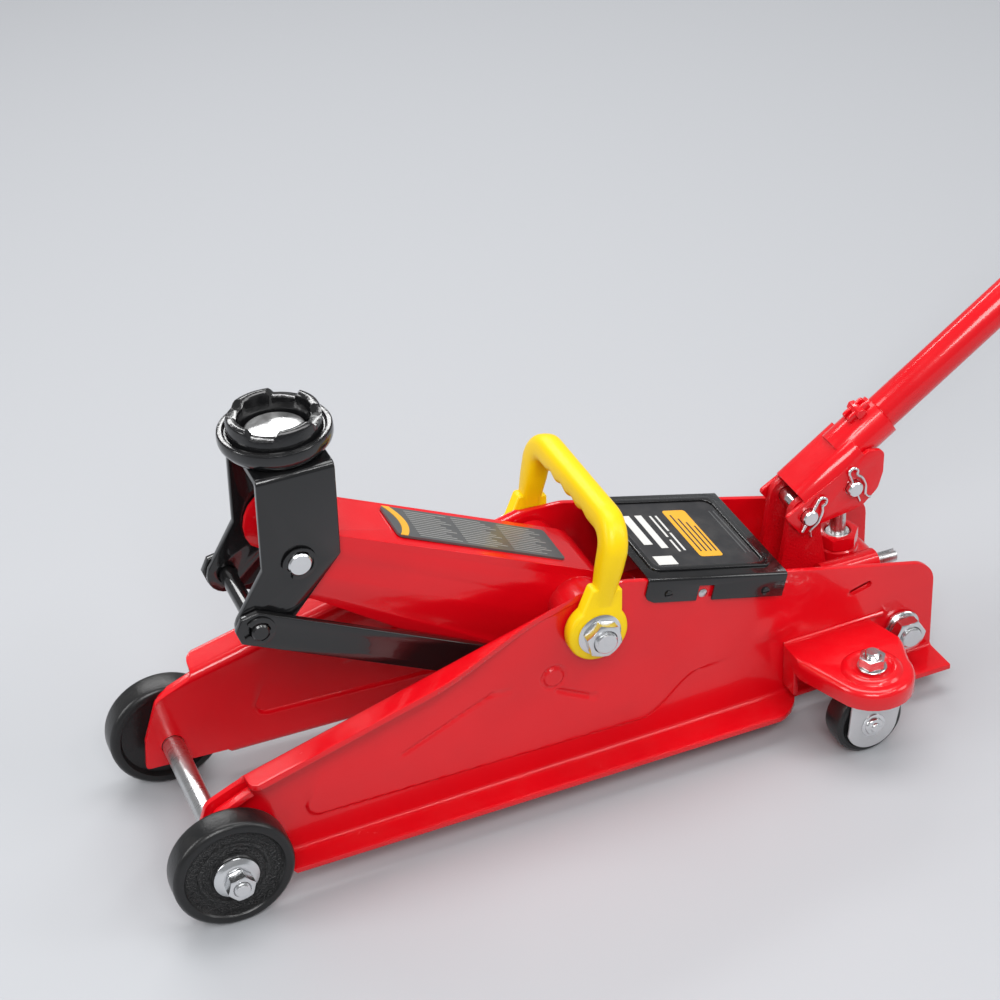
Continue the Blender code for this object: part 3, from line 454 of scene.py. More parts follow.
def bevel_folds(piece, width, least_angle, chosen, clamp=True):
    """Round the folds of a piece that are sharper than an angle and whose two ends pass a test."""
    bm = bmesh.new()
    bm.from_mesh(piece.data)
    folds = [edge for edge in bm.edges
             if len(edge.link_faces) == 2 and edge.calc_face_angle(0) > math.radians(least_angle)
             and chosen(*(vertex.co for vertex in edge.verts))]
    bmesh.ops.bevel(bm, geom=folds, offset=width, segments=6, profile=0.5, affect="EDGES", clamp_overlap=clamp)
    bm.to_mesh(piece.data)
    bm.free()


def join(pieces, name):
    """Several pieces as one object."""
    select_only(pieces[0])
    for other in pieces[1:]:
        other.select_set(True)
    bpy.context.view_layer.objects.active = pieces[0]
    bpy.ops.object.join()
    return added(name)


def finish(piece, body, finishes, nodes=(), angle=32.0):
    """Shade a piece, give it its finish and set what it rides on and stands for."""
    names = [finishes] if isinstance(finishes, str) else finishes
    select_only(piece)
    bpy.ops.object.transform_apply(location=True, rotation=True, scale=True)
    bpy.ops.object.shade_smooth_by_angle(angle=math.radians(angle))
    kept = [polygon.material_index for polygon in piece.data.polygons]
    piece.data.materials.clear()
    for name in names:
        piece.data.materials.append(material_of(name))
    for polygon, index in zip(piece.data.polygons, kept):
        polygon.material_index = min(index, len(names) - 1)
    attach(piece, body)
    if nodes:
        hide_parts(*nodes)
    return piece


def rounded_copy(node, name, body, finish_name, width, segments=2, angle=30.0, shade=32.0):
    """A frame node's own shape with its edges rounded and its finish on."""
    return finish(soften(merged_copy(node, name), width, segments, angle), body, finish_name, [node], shade)


# ---------------------------------------------------------------------------------------------------------
# Materials


# Values that a finish has unless its row says otherwise, those of the printed films and of machined steel
PLAIN = {"metallic": 0.0, "coat": 0.0, "dust": 0.1, "wear": 0.1, "variation": 0.1, "peel": 0.2, "grain": 0.0,
         "ripple": 0.1, "depth": 0.0002, "specular": 0.5}
FILM = {"coat": 0.3, "peel": 0.15, "ripple": 0.5, "depth": 0.0001}
MACHINED = {"metallic": 1.0, "dust": 0.05, "wear": 0.3, "variation": 0.2}
STEEL_WORN = (0.32, 0.30, 0.27)
COAT_ROUGHNESS = 0.04

# Each finish: its slot, its colour or colour setting, that colour's strength, its worn colour, its roughness
# and its other values. A machined steel's marks run across the axis that its stretch has the most of.
FINISHES = {
    "red enamel": ("red_paint", "red", 1.0, (0.16, 0.01, 0.01), 0.22,
                   {"coat": 0.50, "dust": 0.02, "wear": 0.35, "variation": 0.12, "peel": 0.25, "ripple": 1.0,
                    "depth": 0.0003, "specular": 0.30}),
    "red casting": ("red_casting", "red", 0.85, (0.14, 0.01, 0.01), 0.30,
                    {"coat": 0.2, "dust": 0.04, "wear": 0.3, "variation": 0.2, "peel": 0.6, "grain": 0.7,
                     "ripple": 1.5, "depth": 0.0005, "specular": 0.30}),
    "black enamel": ("black_paint", "black", 1.0, (0.08, 0.08, 0.08), 0.20,
                     {"coat": 0.6, "dust": 0.02, "wear": 0.5, "peel": 0.3, "ripple": 1.2, "depth": 0.0003,
                      "specular": 0.35}),
    "saddle enamel": ("saddle_black", "black", 1.0, (0.10, 0.09, 0.08), 0.15,
                      {"coat": 0.5, "dust": 0.02, "wear": 0.4, "peel": 0.5, "grain": 0.08, "ripple": 2.0,
                       "depth": 0.0004, "specular": 0.40}),
    "wheel rim black": ("wheel_black", "wheel", 1.0, (0.07, 0.07, 0.07), 0.28,
                        {"dust": 0.04, "wear": 0.5, "variation": 0.15, "peel": 0.5, "grain": 0.05,
                         "ripple": 0.5, "depth": 0.0003, "specular": 0.40}),
    # The rough cast face's colour is raised half again over the rim's as painted sheen, standing in for glints
    # off its grain; its grain and roughness are real
    "wheel cast black": ("wheel_black", "wheel", 1.5, (0.09, 0.09, 0.09), 0.38,
                         {"dust": 0.06, "wear": 0.3, "variation": 0.2, "peel": 0.6, "grain": 3.0,
                          "ripple": 1.0, "depth": 0.0018, "specular": 0.6}),
    "zinc plate": ("zinc", "zinc", 1.0, (0.42, 0.41, 0.38), 0.20,
                   {"metallic": 1.0, "dust": 0.05, "wear": 0.3, "variation": 0.16, "peel": 0.25, "grain": 0.05,
                    "ripple": 0.6}),
    "fork plate": ("zinc", (0.66, 0.66, 0.67), 1.0, (0.40, 0.40, 0.40), 0.36,
                   {"metallic": 0.75, "dust": 0.05, "wear": 0.2, "variation": 0.08, "grain": 0.05,
                    "ripple": 0.6}),
    "yellow plastic": ("yellow_plastic", "yellow", 1.0, (0.95, 0.85, 0.20), 0.34,
                       {"dust": 0.02, "wear": 0.2, "variation": 0.04, "peel": 0.5, "grain": 0.10,
                        "ripple": 0.8, "specular": 0.30}),
    "grip rubber": ("grip_rubber", (0.020, 0.020, 0.021), 1.0, (0.05, 0.05, 0.05), 0.62,
                    {"dust": 0.25, "wear": 0.2, "variation": 0.2, "peel": 0.3, "grain": 0.6, "ripple": 0.4,
                     "depth": 0.0003}),
    "label ground": ("black_paint", "label", 1.0, (0.08, 0.08, 0.08), 0.28, {**FILM, "dust": 0.08}),
    "label grey": ("black_paint", (0.085, 0.088, 0.090), 1.0, (0.15, 0.15, 0.15), 0.30,
                   {**FILM, "dust": 0.08}),
    "label fine print": ("black_paint", (0.30, 0.30, 0.29), 1.0, (0.3, 0.3, 0.3), 0.32,
                         {**FILM, "dust": 0.04, "variation": 0.08}),
    "label accent": ("black_paint", "orange", 1.0, (0.6, 0.4, 0.2), 0.30,
                     {**FILM, "dust": 0.06, "variation": 0.08}),
    "label print": ("black_paint", "print_white", 1.0, (0.5, 0.5, 0.5), 0.32,
                    {**FILM, "dust": 0.06, "variation": 0.08}),
    "turned steel": ("bare_steel", "steel", 1.0, STEEL_WORN, 0.22, {**MACHINED, "stretch": (0.15, 1.6, 0.15)}),
    "ground steel": ("bare_steel", "steel", 1.0, STEEL_WORN, 0.22, {**MACHINED, "stretch": (1.6, 0.15, 0.15)}),
    "lapped steel": ("bare_steel", "steel", 1.1, STEEL_WORN, 0.22, {**MACHINED, "stretch": (0.25, 0.25, 0.25)}),
}


def new_group(name, inputs, outputs):
    """A shader node group with sockets named and set from their defaults, and its input and output nodes."""
    group = bpy.data.node_groups.new(name, "ShaderNodeTree")
    kinds = {4: "NodeSocketColor", 3: "NodeSocketVector"}
    for label, default in inputs.items():
        kind = kinds[len(default)] if isinstance(default, tuple) else "NodeSocketFloat"
        group.interface.new_socket(label, in_out="INPUT", socket_type=kind).default_value = default
    for label in outputs:
        kind = "NodeSocketColor" if label == "Colour" else "NodeSocketFloat"
        group.interface.new_socket(label, in_out="OUTPUT", socket_type=kind)
    return group, group.nodes.new("NodeGroupInput"), group.nodes.new("NodeGroupOutput")


def node(tree, kind, **values):
    """A node with some of its inputs or settings set."""
    made = tree.nodes.new(kind)
    for key, value in values.items():
        if hasattr(made, key):
            setattr(made, key, value)
        else:
            made.inputs[key].default_value = value
    return made


def math_node(tree, operation, first, second, clamp=False):
    """A Math node fed by sockets or numbers."""
    made = tree.nodes.new("ShaderNodeMath")
    made.operation = operation
    made.use_clamp = clamp
    for value, socket in zip((first, second), made.inputs):
        if isinstance(value, (int, float)):
            socket.default_value = value
        else:
            tree.links.new(value, socket)
    return made.outputs[0]


def times(tree, first, second, clamp=False):
    """One value times another."""
    return math_node(tree, "MULTIPLY", first, second, clamp)


def plus(tree, first, second, clamp=False):
    """One value plus another."""
    return math_node(tree, "ADD", first, second, clamp)


def spread(tree, value, low, high):
    """A value stretched from low..high to 0..1."""
    made = tree.nodes.new("ShaderNodeMapRange")
    made.inputs["From Min"].default_value = low
    made.inputs["From Max"].default_value = high
    tree.links.new(value, made.inputs["Value"])
    return made.outputs["Result"]


def noise(tree, place, scale, detail=4.0, roughness=0.55):
    """A noise texture's value at a scale in cycles per metre."""
    made = node(tree, "ShaderNodeTexNoise", Scale=scale, Detail=detail, Roughness=roughness)
    tree.links.new(place, made.inputs["Vector"])
    return made.outputs["Fac"]


def mix_colour(tree, factor, first, second):
    """A colour mix fed by sockets or colours."""
    made = tree.nodes.new("ShaderNodeMix")
    made.data_type = "RGBA"
    tree.links.new(factor, made.inputs["Factor"])
    for value, socket in ((first, made.inputs[6]), (second, made.inputs[7])):
        if isinstance(value, tuple):
            socket.default_value = value
        else:
            tree.links.new(value, socket)
    return made.outputs[2]


def weathering_group():
    """Uneven colour, settled dust and worn edges, shared by the painted and plated finishes."""
    found = bpy.data.node_groups.get("Weathering")
    if found:
        return found
    group, inside, outside = new_group(
        "Weathering",
        {"Colour": (0.5, 0.5, 0.5, 1), "Wear Colour": (0.3, 0.3, 0.3, 1), "Roughness": 0.3, "Dust": 0.1,
         "Wear": 0.2, "Variation": 0.1},
        ("Colour", "Roughness"))
    given = inside.outputs
    place = group.nodes.new("ShaderNodeTexCoord").outputs["Object"]
    surface = group.nodes.new("ShaderNodeNewGeometry")
    broad = noise(group, place, 14.0, 3.0)
    fine = noise(group, place, 420.0, 5.0, 0.65)
    patchy = noise(group, place, 70.0, 5.0, 0.6)
    # Colour drifts a little over the surface
    drift = times(group, spread(group, broad, 0.3, 0.7), given["Variation"])
    darker = mix_colour(group, drift, given["Colour"], (0.0, 0.0, 0.0, 1))
    # Dust lies on what faces up
    split = group.nodes.new("ShaderNodeSeparateXYZ")
    group.links.new(surface.outputs["Normal"], split.inputs[0])
    upward = spread(group, split.outputs["Z"], 0.2, 1.0)
    specks = spread(group, patchy, 0.42, 0.78)
    dust = times(group, times(group, upward, specks), given["Dust"], True)
    dusty = mix_colour(group, dust, darker, (0.34, 0.31, 0.28, 1))
    # Paint thins along sharp edges
    edges = spread(group, surface.outputs["Pointiness"], 0.56, 0.68)
    broken = spread(group, fine, 0.50, 0.66)
    worn = times(group, times(group, edges, broken), given["Wear"], True)
    rough = plus(group, given["Roughness"], times(group, dust, 0.5))
    rough = plus(group, rough, times(group, spread(group, patchy, 0.35, 0.75), 0.05))
    rough = plus(group, rough, times(group, worn, 0.2), True)
    group.links.new(mix_colour(group, worn, dusty, given["Wear Colour"]), outside.inputs["Colour"])
    group.links.new(rough, outside.inputs["Roughness"])
    return group


def relief_group():
    """Height of orange peel, cast grain and dents in one value."""
    found = bpy.data.node_groups.get("Surface relief")
    if found:
        return found
    group, inside, outside = new_group("Surface relief", {"Peel": 0.2, "Grain": 0.0, "Ripple": 0.1}, ("Height",))
    given = inside.outputs
    place = group.nodes.new("ShaderNodeTexCoord").outputs["Object"]
    peel = times(group, noise(group, place, 620.0, 2.0, 0.4), given["Peel"])
    cells = node(group, "ShaderNodeTexVoronoi", Scale=950.0, feature="SMOOTH_F1")
    group.links.new(place, cells.inputs["Vector"])
    coarse = plus(group, cells.outputs["Distance"], noise(group, place, 1500.0, 4.0, 0.7))
    grain = times(group, coarse, given["Grain"])
    ripple = times(group, noise(group, place, 45.0, 2.0, 0.4), given["Ripple"])
    group.links.new(plus(group, plus(group, peel, grain), ripple), outside.inputs["Height"])
    return group


def brushed_group():
    """Fine scratches that run round or along a machined piece."""
    found = bpy.data.node_groups.get("Machined marks")
    if found:
        return found
    group, inside, outside = new_group("Machined marks", {"Stretch": (1.0, 1.0, 1.0), "Depth": 0.5},
                                       ("Roughness", "Height"))
    place = group.nodes.new("ShaderNodeTexCoord").outputs["Object"]
    scaled = group.nodes.new("ShaderNodeVectorMath")
    scaled.operation = "MULTIPLY"
    group.links.new(place, scaled.inputs[0])
    group.links.new(inside.outputs["Stretch"], scaled.inputs[1])
    lines = noise(group, scaled.outputs[0], 900.0, 4.0, 0.7)
    group.links.new(times(group, spread(group, lines, 0.3, 0.7), 0.14), outside.inputs["Roughness"])
    group.links.new(times(group, lines, inside.outputs["Depth"]), outside.inputs["Height"])
    return group


def place_group(tree, group, **values):
    """A node group in a material, with its input values set by name."""
    made = tree.nodes.new("ShaderNodeGroup")
    made.node_tree = group
    for key, value in values.items():
        made.inputs[key.replace("_", " ")].default_value = value
    return made


def material_of(name):
    """A finish of the table as a Principled material on the shared node groups."""
    found = bpy.data.materials.get(name)
    if found:
        return found
    _, colour, strength, worn_colour, roughness, own_values = FINISHES[name]
    values = {**PLAIN, **own_values}
    if isinstance(colour, str):
        colour = getattr(colours(), colour)
    made = bpy.data.materials.new(name)
    made.use_nodes = True
    tree = made.node_tree
    shader = tree.nodes["Principled BSDF"]
    shader.inputs["Metallic"].default_value = values["metallic"]
    shader.inputs["Coat Weight"].default_value = values["coat"]
    shader.inputs["Coat Roughness"].default_value = COAT_ROUGHNESS
    shader.inputs["Specular IOR Level"].default_value = values["specular"]
    surface = place_group(tree, weathering_group(), Colour=(*(strength * part for part in colour), 1),
                          Wear_Colour=(*worn_colour, 1), Roughness=roughness, Dust=values["dust"],
                          Wear=values["wear"], Variation=values["variation"])
    rough = surface.outputs["Roughness"]
    if "stretch" in values:
        relief = place_group(tree, brushed_group(), Stretch=values["stretch"], Depth=0.6)
        rough = plus(tree, rough, relief.outputs["Roughness"])
        bump = node(tree, "ShaderNodeBump", Strength=0.35, Distance=0.0001)
    else:
        relief = place_group(tree, relief_group(), Peel=values["peel"], Grain=values["grain"],
                             Ripple=values["ripple"])
        bump = node(tree, "ShaderNodeBump", Strength=0.6, Distance=values["depth"])
    tree.links.new(relief.outputs["Height"], bump.inputs["Height"])
    tree.links.new(surface.outputs["Colour"], shader.inputs["Base Color"])
    tree.links.new(rough, shader.inputs["Roughness"])
    tree.links.new(bump.outputs["Normal"], shader.inputs["Normal"])
    return made


# ---------------------------------------------------------------------------------------------------------
# Side plates


def web_top(x):
    """Height of a side plate's top line at a station, carried on straight past both of its ends."""
    (x0, z0), (x1, z1) = TOP_LINE
    return z0 + (x - x0) * (z1 - z0) / (x1 - x0)


def fade(value, low, high):
    """A smooth step from 0 at low to 1 at high."""
    share = min(1.0, max(0.0, (value - low) / (high - low)))
    return share * share * (3 - 2 * share)


def field_line(x):
    """Height of the long pressed line along a side plate."""
    straight = 0.0350 - (x - 0.054) * (0.0052 / 0.179)
    return straight + 0.0225 * fade(x, 0.233, 0.269)


def groove(x, z, start, end, width):
    """A pressed line's depth at a point, from 1 on the line to 0 away from it."""
    (ax, az), (bx, bz) = start, end
    share = ((x - ax) * (bx - ax) + (z - az) * (bz - az)) / ((bx - ax) ** 2 + (bz - az) ** 2)
    share = min(1.0, max(0.0, share))
    away = math.hypot(x - ax - share * (bx - ax), z - az - share * (bz - az))
    return math.exp(-((away / width) ** 2))


def emboss(x, z):
    """How far a side plate's web is pressed out at a point, as a share of the full height."""
    line = field_line(x)
    corner_x, corner_z, radius = 0.0530, 0.0425, 0.0075
    if x < corner_x and z < corner_z:
        step = 1 - fade(math.hypot(x - corner_x, z - corner_z), radius - 0.0010, radius + 0.0010)
    else:
        step = fade(z, line - 0.0010, line + 0.0010)
    if z >= corner_z:
        end = corner_x - radius + 0.35 * (z - corner_z)
        blur = 0.0010 + 0.22 * (z - corner_z)
        step *= fade(x, end - blur, end + blur)
    height = step * (1 - 0.88 * fade(z, line + 0.010, line + 0.040)) * (1 - fade(x, 0.262, 0.292))
    # The short upper crease, the disc over the tie rod stud with its tail, and a dimple
    height -= 0.60 * groove(x, z, (0.0990, 0.0560), (0.1500, 0.0757), 0.0012)
    height -= 0.40 * groove(x, z, (0.1500, 0.0757), (0.1590, 0.0742), 0.0014)
    away = math.hypot(x - 0.1842, z - 0.0745)
    height += 0.42 * (1 - fade(away, 0.0050, 0.0058)) - 0.70 * math.exp(-(((away - 0.0064) / 0.0009) ** 2))
    height -= 1.00 * groove(x, z, (0.1860, 0.0655), (0.2030, 0.0560), 0.0014)
    height -= 0.5 * (1 - fade(math.hypot(x - 0.2065, z - 0.0545), 0.0012, 0.0032))
    # Weld pull beside the caster shelf
    height += 0.9 * (1 - fade(math.hypot((x - 0.316) / 1.5, z - 0.062), 0.002, 0.011))
    return height


def section_point(x, index, counts):
    """A point of the plate's outer surface at a station, as (outward, height)."""
    bottom, bend, web, top = counts
    r = BEND_RADIUS
    foot = BOTTOM_Z + r
    head = web_top(x) - SHEET - r
    reach = 0.0147 + (0.0195 - 0.0147) * max(0.0, x - 0.034) / 0.275
    if index <= bottom:
        return (reach + (r - reach) * index / bottom, BOTTOM_Z)
    index -= bottom
    if index <= bend:
        angle = math.pi / 2 * index / bend
        return (r - r * math.sin(angle), foot - r * math.cos(angle))
    index -= bend
    if index <= web:
        z = foot + (head - foot) * (index / web) ** 1.25
        edges = fade(z, foot, foot + 0.004) * (1 - fade(z, head - 0.006, head))
        return (sizes().emboss * emboss(x, z) * edges, z)
    index -= web
    if index <= bend:
        angle = math.pi / 2 * index / bend
        return (r - r * math.cos(angle), head + r * math.sin(angle))
    share = (index - bend) / top
    width = 0.0145
    return (r + (width - r) * share, head + r + math.tan(math.radians(6.0)) * (width - r) * share)


def nose_flange():
    """The narrow flange bent outwards round a side plate's nose: a grid folded along the nose's outline."""
    nose = rounded([(-0.0156, 0.0215), (-0.0140, 0.0380, 0.010), (-0.0055, 0.0620, 0.010), (0.0150, 0.0709)], 10)
    rows, columns, bend = len(nose) - 1, 12, 7
    radius, width = 0.0034, 0.0075

    def place(row, column):
        along = (Vector(nose[min(row + 1, rows)]) - Vector(nose[max(row - 1, 0)])).normalized()
        outward = Vector((-along.y, along.x))
        angle = math.pi / 2 * min(1.0, column / bend)
        sink = SHEET + radius - radius * math.sin(angle)
        out = radius - radius * math.cos(angle) + (width - radius) * max(0, column - bend) / (columns - bend)
        spot = Vector(nose[row]) - outward * sink
        return spot.x, -out, spot.y

    return sheet_of(folded_grid("nose_flange", rows, columns, place), SHEET * 0.98, 1)


def side_plate():
    """The right-hand pressed channel: a grid folded to the section, embossed, thickened, trimmed and pierced."""
    counts = (7, 6, 88, 8)
    across = counts[0] + 2 * counts[1] + counts[2] + counts[3]
    # Stations stand closer where the web is pressed
    places = []
    for start, end, pitch in ((-0.018, 0.040, 0.0015), (0.040, 0.066, 0.0008), (0.066, 0.172, 0.0014),
                              (0.172, 0.212, 0.0008), (0.212, 0.276, 0.0012), (0.276, 0.415, 0.0030)):
        count = round((end - start) / pitch)
        places += [start + (end - start) * step / count for step in range(count)]
    places.append(0.415)

    def place(station, step):
        out, z = section_point(places[station], step, counts)
        return places[station], -out, z

    piece = sheet_of(folded_grid("side_plate_right_pressed", len(places) - 1, across, place), SHEET, -1)
    edge = rounded([(-0.0160, 0.0200, 0.002), (-0.0140, 0.0380, 0.006), (-0.0055, 0.0620, 0.008),
                    (0.0140, 0.0705, 0.004), (0.0170, 0.0800), (TOP_LINE[1][0], 0.1260),
                    (0.2030, 0.1212, 0.02), (0.2270, 0.1207, 0.02), (0.2400, 0.1172), (0.4130, 0.0722, 0.015),
                    (0.4130, 0.0135), (0.0330, 0.0135), (0.0290, 0.0185)], 10)
    boolean(piece, plate("trim", edge, -0.03, 0.03), "INTERSECT")
    # The bottom flange stops short of the caster shelf and starts again behind it
    gap = [(0.3000, -0.0300), (0.3060, -0.0200), (0.3110, -0.0185), (0.3160, -0.0155), (0.3210, -0.0105),
           (0.3250, -0.0040), (0.3880, -0.0040), (0.3880, -0.0300)]
    boolean(piece, plate("flange gap", gap, 0.010, BOTTOM_Z + 0.0015, "XY"))
    # The top flange starts square behind the axle and tapers away before the pivot
    lead = [(-0.0300, -0.0300), (-0.0300, -0.0003), (0.0155, -0.0003), (0.0155, -0.0080), (0.0162, -0.0110),
            (0.0182, -0.0134), (0.0215, -0.0150), (0.0215, -0.0300)]
    boolean(piece, plate("flange start", lead, 0.050, 0.110, "XY"))
    taper = [(0.1080, -0.0300), (0.1080, -0.0147)]
    taper += [(0.1080 + 0.0820 * step / 16, -0.0003 - 0.0144 * (1 - fade(step, 0, 16))) for step in range(17)]
    taper += [(0.2400, -0.0003), (0.2400, -0.0300)]
    boolean(piece, plate("flange taper", taper, 0.088, 0.150, "XY"))
    boolean(piece, nose_flange(), "UNION")
    # Holes for the main pivot, the axle and the trunnion bolt
    for radius, x, z in ((0.0064, PIVOT.x - AXLE.x, PIVOT.z), (0.0063, 0.0, AXLE.z), (0.0067, 0.3930, 0.0360)):
        boolean(piece, rod("hole", radius, -0.03, 0.03, "Y", (x, 0, z), 40))
    slot_ends = arc((0.0050, 0), 0.0021, -90, 90, 8) + arc((-0.0050, 0), 0.0021, 90, 270, 8)
    slot_tool = plate("slot", slot_ends, -0.03, 0.03)
    moved(slot_tool, Matrix.Translation((0.3665, 0, 0.0703)) @ Matrix.Rotation(math.radians(-14), 4, "Y"))
    boolean(piece, slot_tool)
    soften(piece, 0.0004, 2, 55)
    hinge = Vector((PIVOT.x, -PLATE_HALF_WIDTH, 0))
    back = Matrix.Translation((AXLE.x - PIVOT.x, 0, 0))
    return moved(piece, Matrix.Translation(hinge) @ Matrix.Rotation(TOE_IN, 4, "Z") @ back)


class JACK_OT_side_plates(bpy.types.Operator):
    """Press, trim and pierce the two side plates"""

    bl_idname = "jack.side_plates"
    bl_label = "Side plates"

    def execute(self, context):
        right = side_plate()
        left = right.copy()
        left.data = right.data.copy()
        left.name = left.data.name = "side_plate_left_pressed"
        context.scene.collection.objects.link(left)
        moved(left, Matrix.Diagonal((1, -1, 1, 1)))
        in_edit_mode(left, bpy.ops.mesh.flip_normals)
        for piece, word in ((right, "right"), (left, "left")):
            finish(piece, "frame", "red enamel", [f"side_plate_{word}"], 28)
        return {"FINISHED"}


# ---------------------------------------------------------------------------------------------------------
# Wheels and axle


def front_wheel(side, word):
    """A cast wheel: tread, rim, rough recessed face with a raised ring, and hub."""
    face = side * joint_place(f"front_wheel_{word}_spin").y + 0.008
    centre = (AXLE.x, 0, AXLE.z)
    profile = in_mm([(6.3, -0.6), (6.9, 0), (11.6, 0), (12.4, -0.8), (13, -2.6), (16.5, -2.8), (17.2, -2),
                     (18.6, -2), (19.3, -3), (24.6, -3.2), (25.6, -1), (26.4, -0.2), (29, 0), (30, -0.4),
                     (31.3, -1.8), (31.5, -3), (31.5, -13), (31.3, -14.2), (30, -15.6), (29, -16),
                     (26.4, -15.8), (25, -13), (12, -13), (10.6, -14.5), (10, -20.5), (9.4, -21),
                     (6.3, -21)], face)
    piece = turned(f"front_wheel_{word}_cast", profile, "Y", centre, 96, flip=side < 0)
    # The rough recessed face takes the lighter wheel finish, whose raised colour is painted sheen
    for polygon in piece.data.polygons:
        middle = polygon.center - Vector(centre)
        away = math.hypot(middle.x, middle.z)
        polygon.material_index = int(0.0126 < away < 0.0252 and abs(middle.y) > face - 0.0045)
    finish(piece, f"front_wheel_{word}", ["wheel rim black", "wheel cast black"],
           [f"front_wheel_{word}"], 34)


def axle_hardware():
    """The axle with screwed ends, its dished washers and nuts."""
    centre = (AXLE.x, 0, AXLE.z)
    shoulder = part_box("front_axle")[1].y - 0.0122
    piece = rod("front_axle_bar", 0.006, -shoulder, shoulder, "Y", centre, 64, 0.0006)
    finish(piece, "frame", "turned steel", ["front_axle"])
    for side, word in SIDES:
        low, high = sorted((side * shoulder, side * (shoulder + 0.0122)))
        piece = threaded(f"front_axle_thread_{word}", 0.0040, low, high, "Y", centre)
        finish(piece, "frame", "zinc plate")
        base = shoulder + 0.0006
        washer = in_mm([(4.3, 1.5), (4.3, 2.6), (7.8, 2.9), (9.8, 2.2), (11.8, 0.9), (12, 0.4), (11.8, 0),
                        (9.8, 0.6), (7.8, 1.3)], base)
        piece = turned(f"axle_washer_{word}_dished", washer, "Y", centre, 64, flip=side < 0)
        finish(piece, "frame", "zinc plate", [f"axle_washer_{word}"])
        low, high = sorted((side * (base + 0.0032), side * (base + 0.0100)))
        piece = hex_piece(f"axle_nut_{word}_hex", 0.013, low, high, "Y", centre, 0.0041, 0.3)
        finish(piece, "frame", "zinc plate", [f"axle_nut_{word}"])


class JACK_OT_wheels(bpy.types.Operator):
    """Cast the front wheels and fit the axle, washers and nuts"""

    bl_idname = "jack.wheels"
    bl_label = "Front wheels and axle"

    def execute(self, context):
        for side, word in SIDES:
            front_wheel(side, word)
        axle_hardware()
        return {"FINISHED"}


# ---------------------------------------------------------------------------------------------------------
# Casters


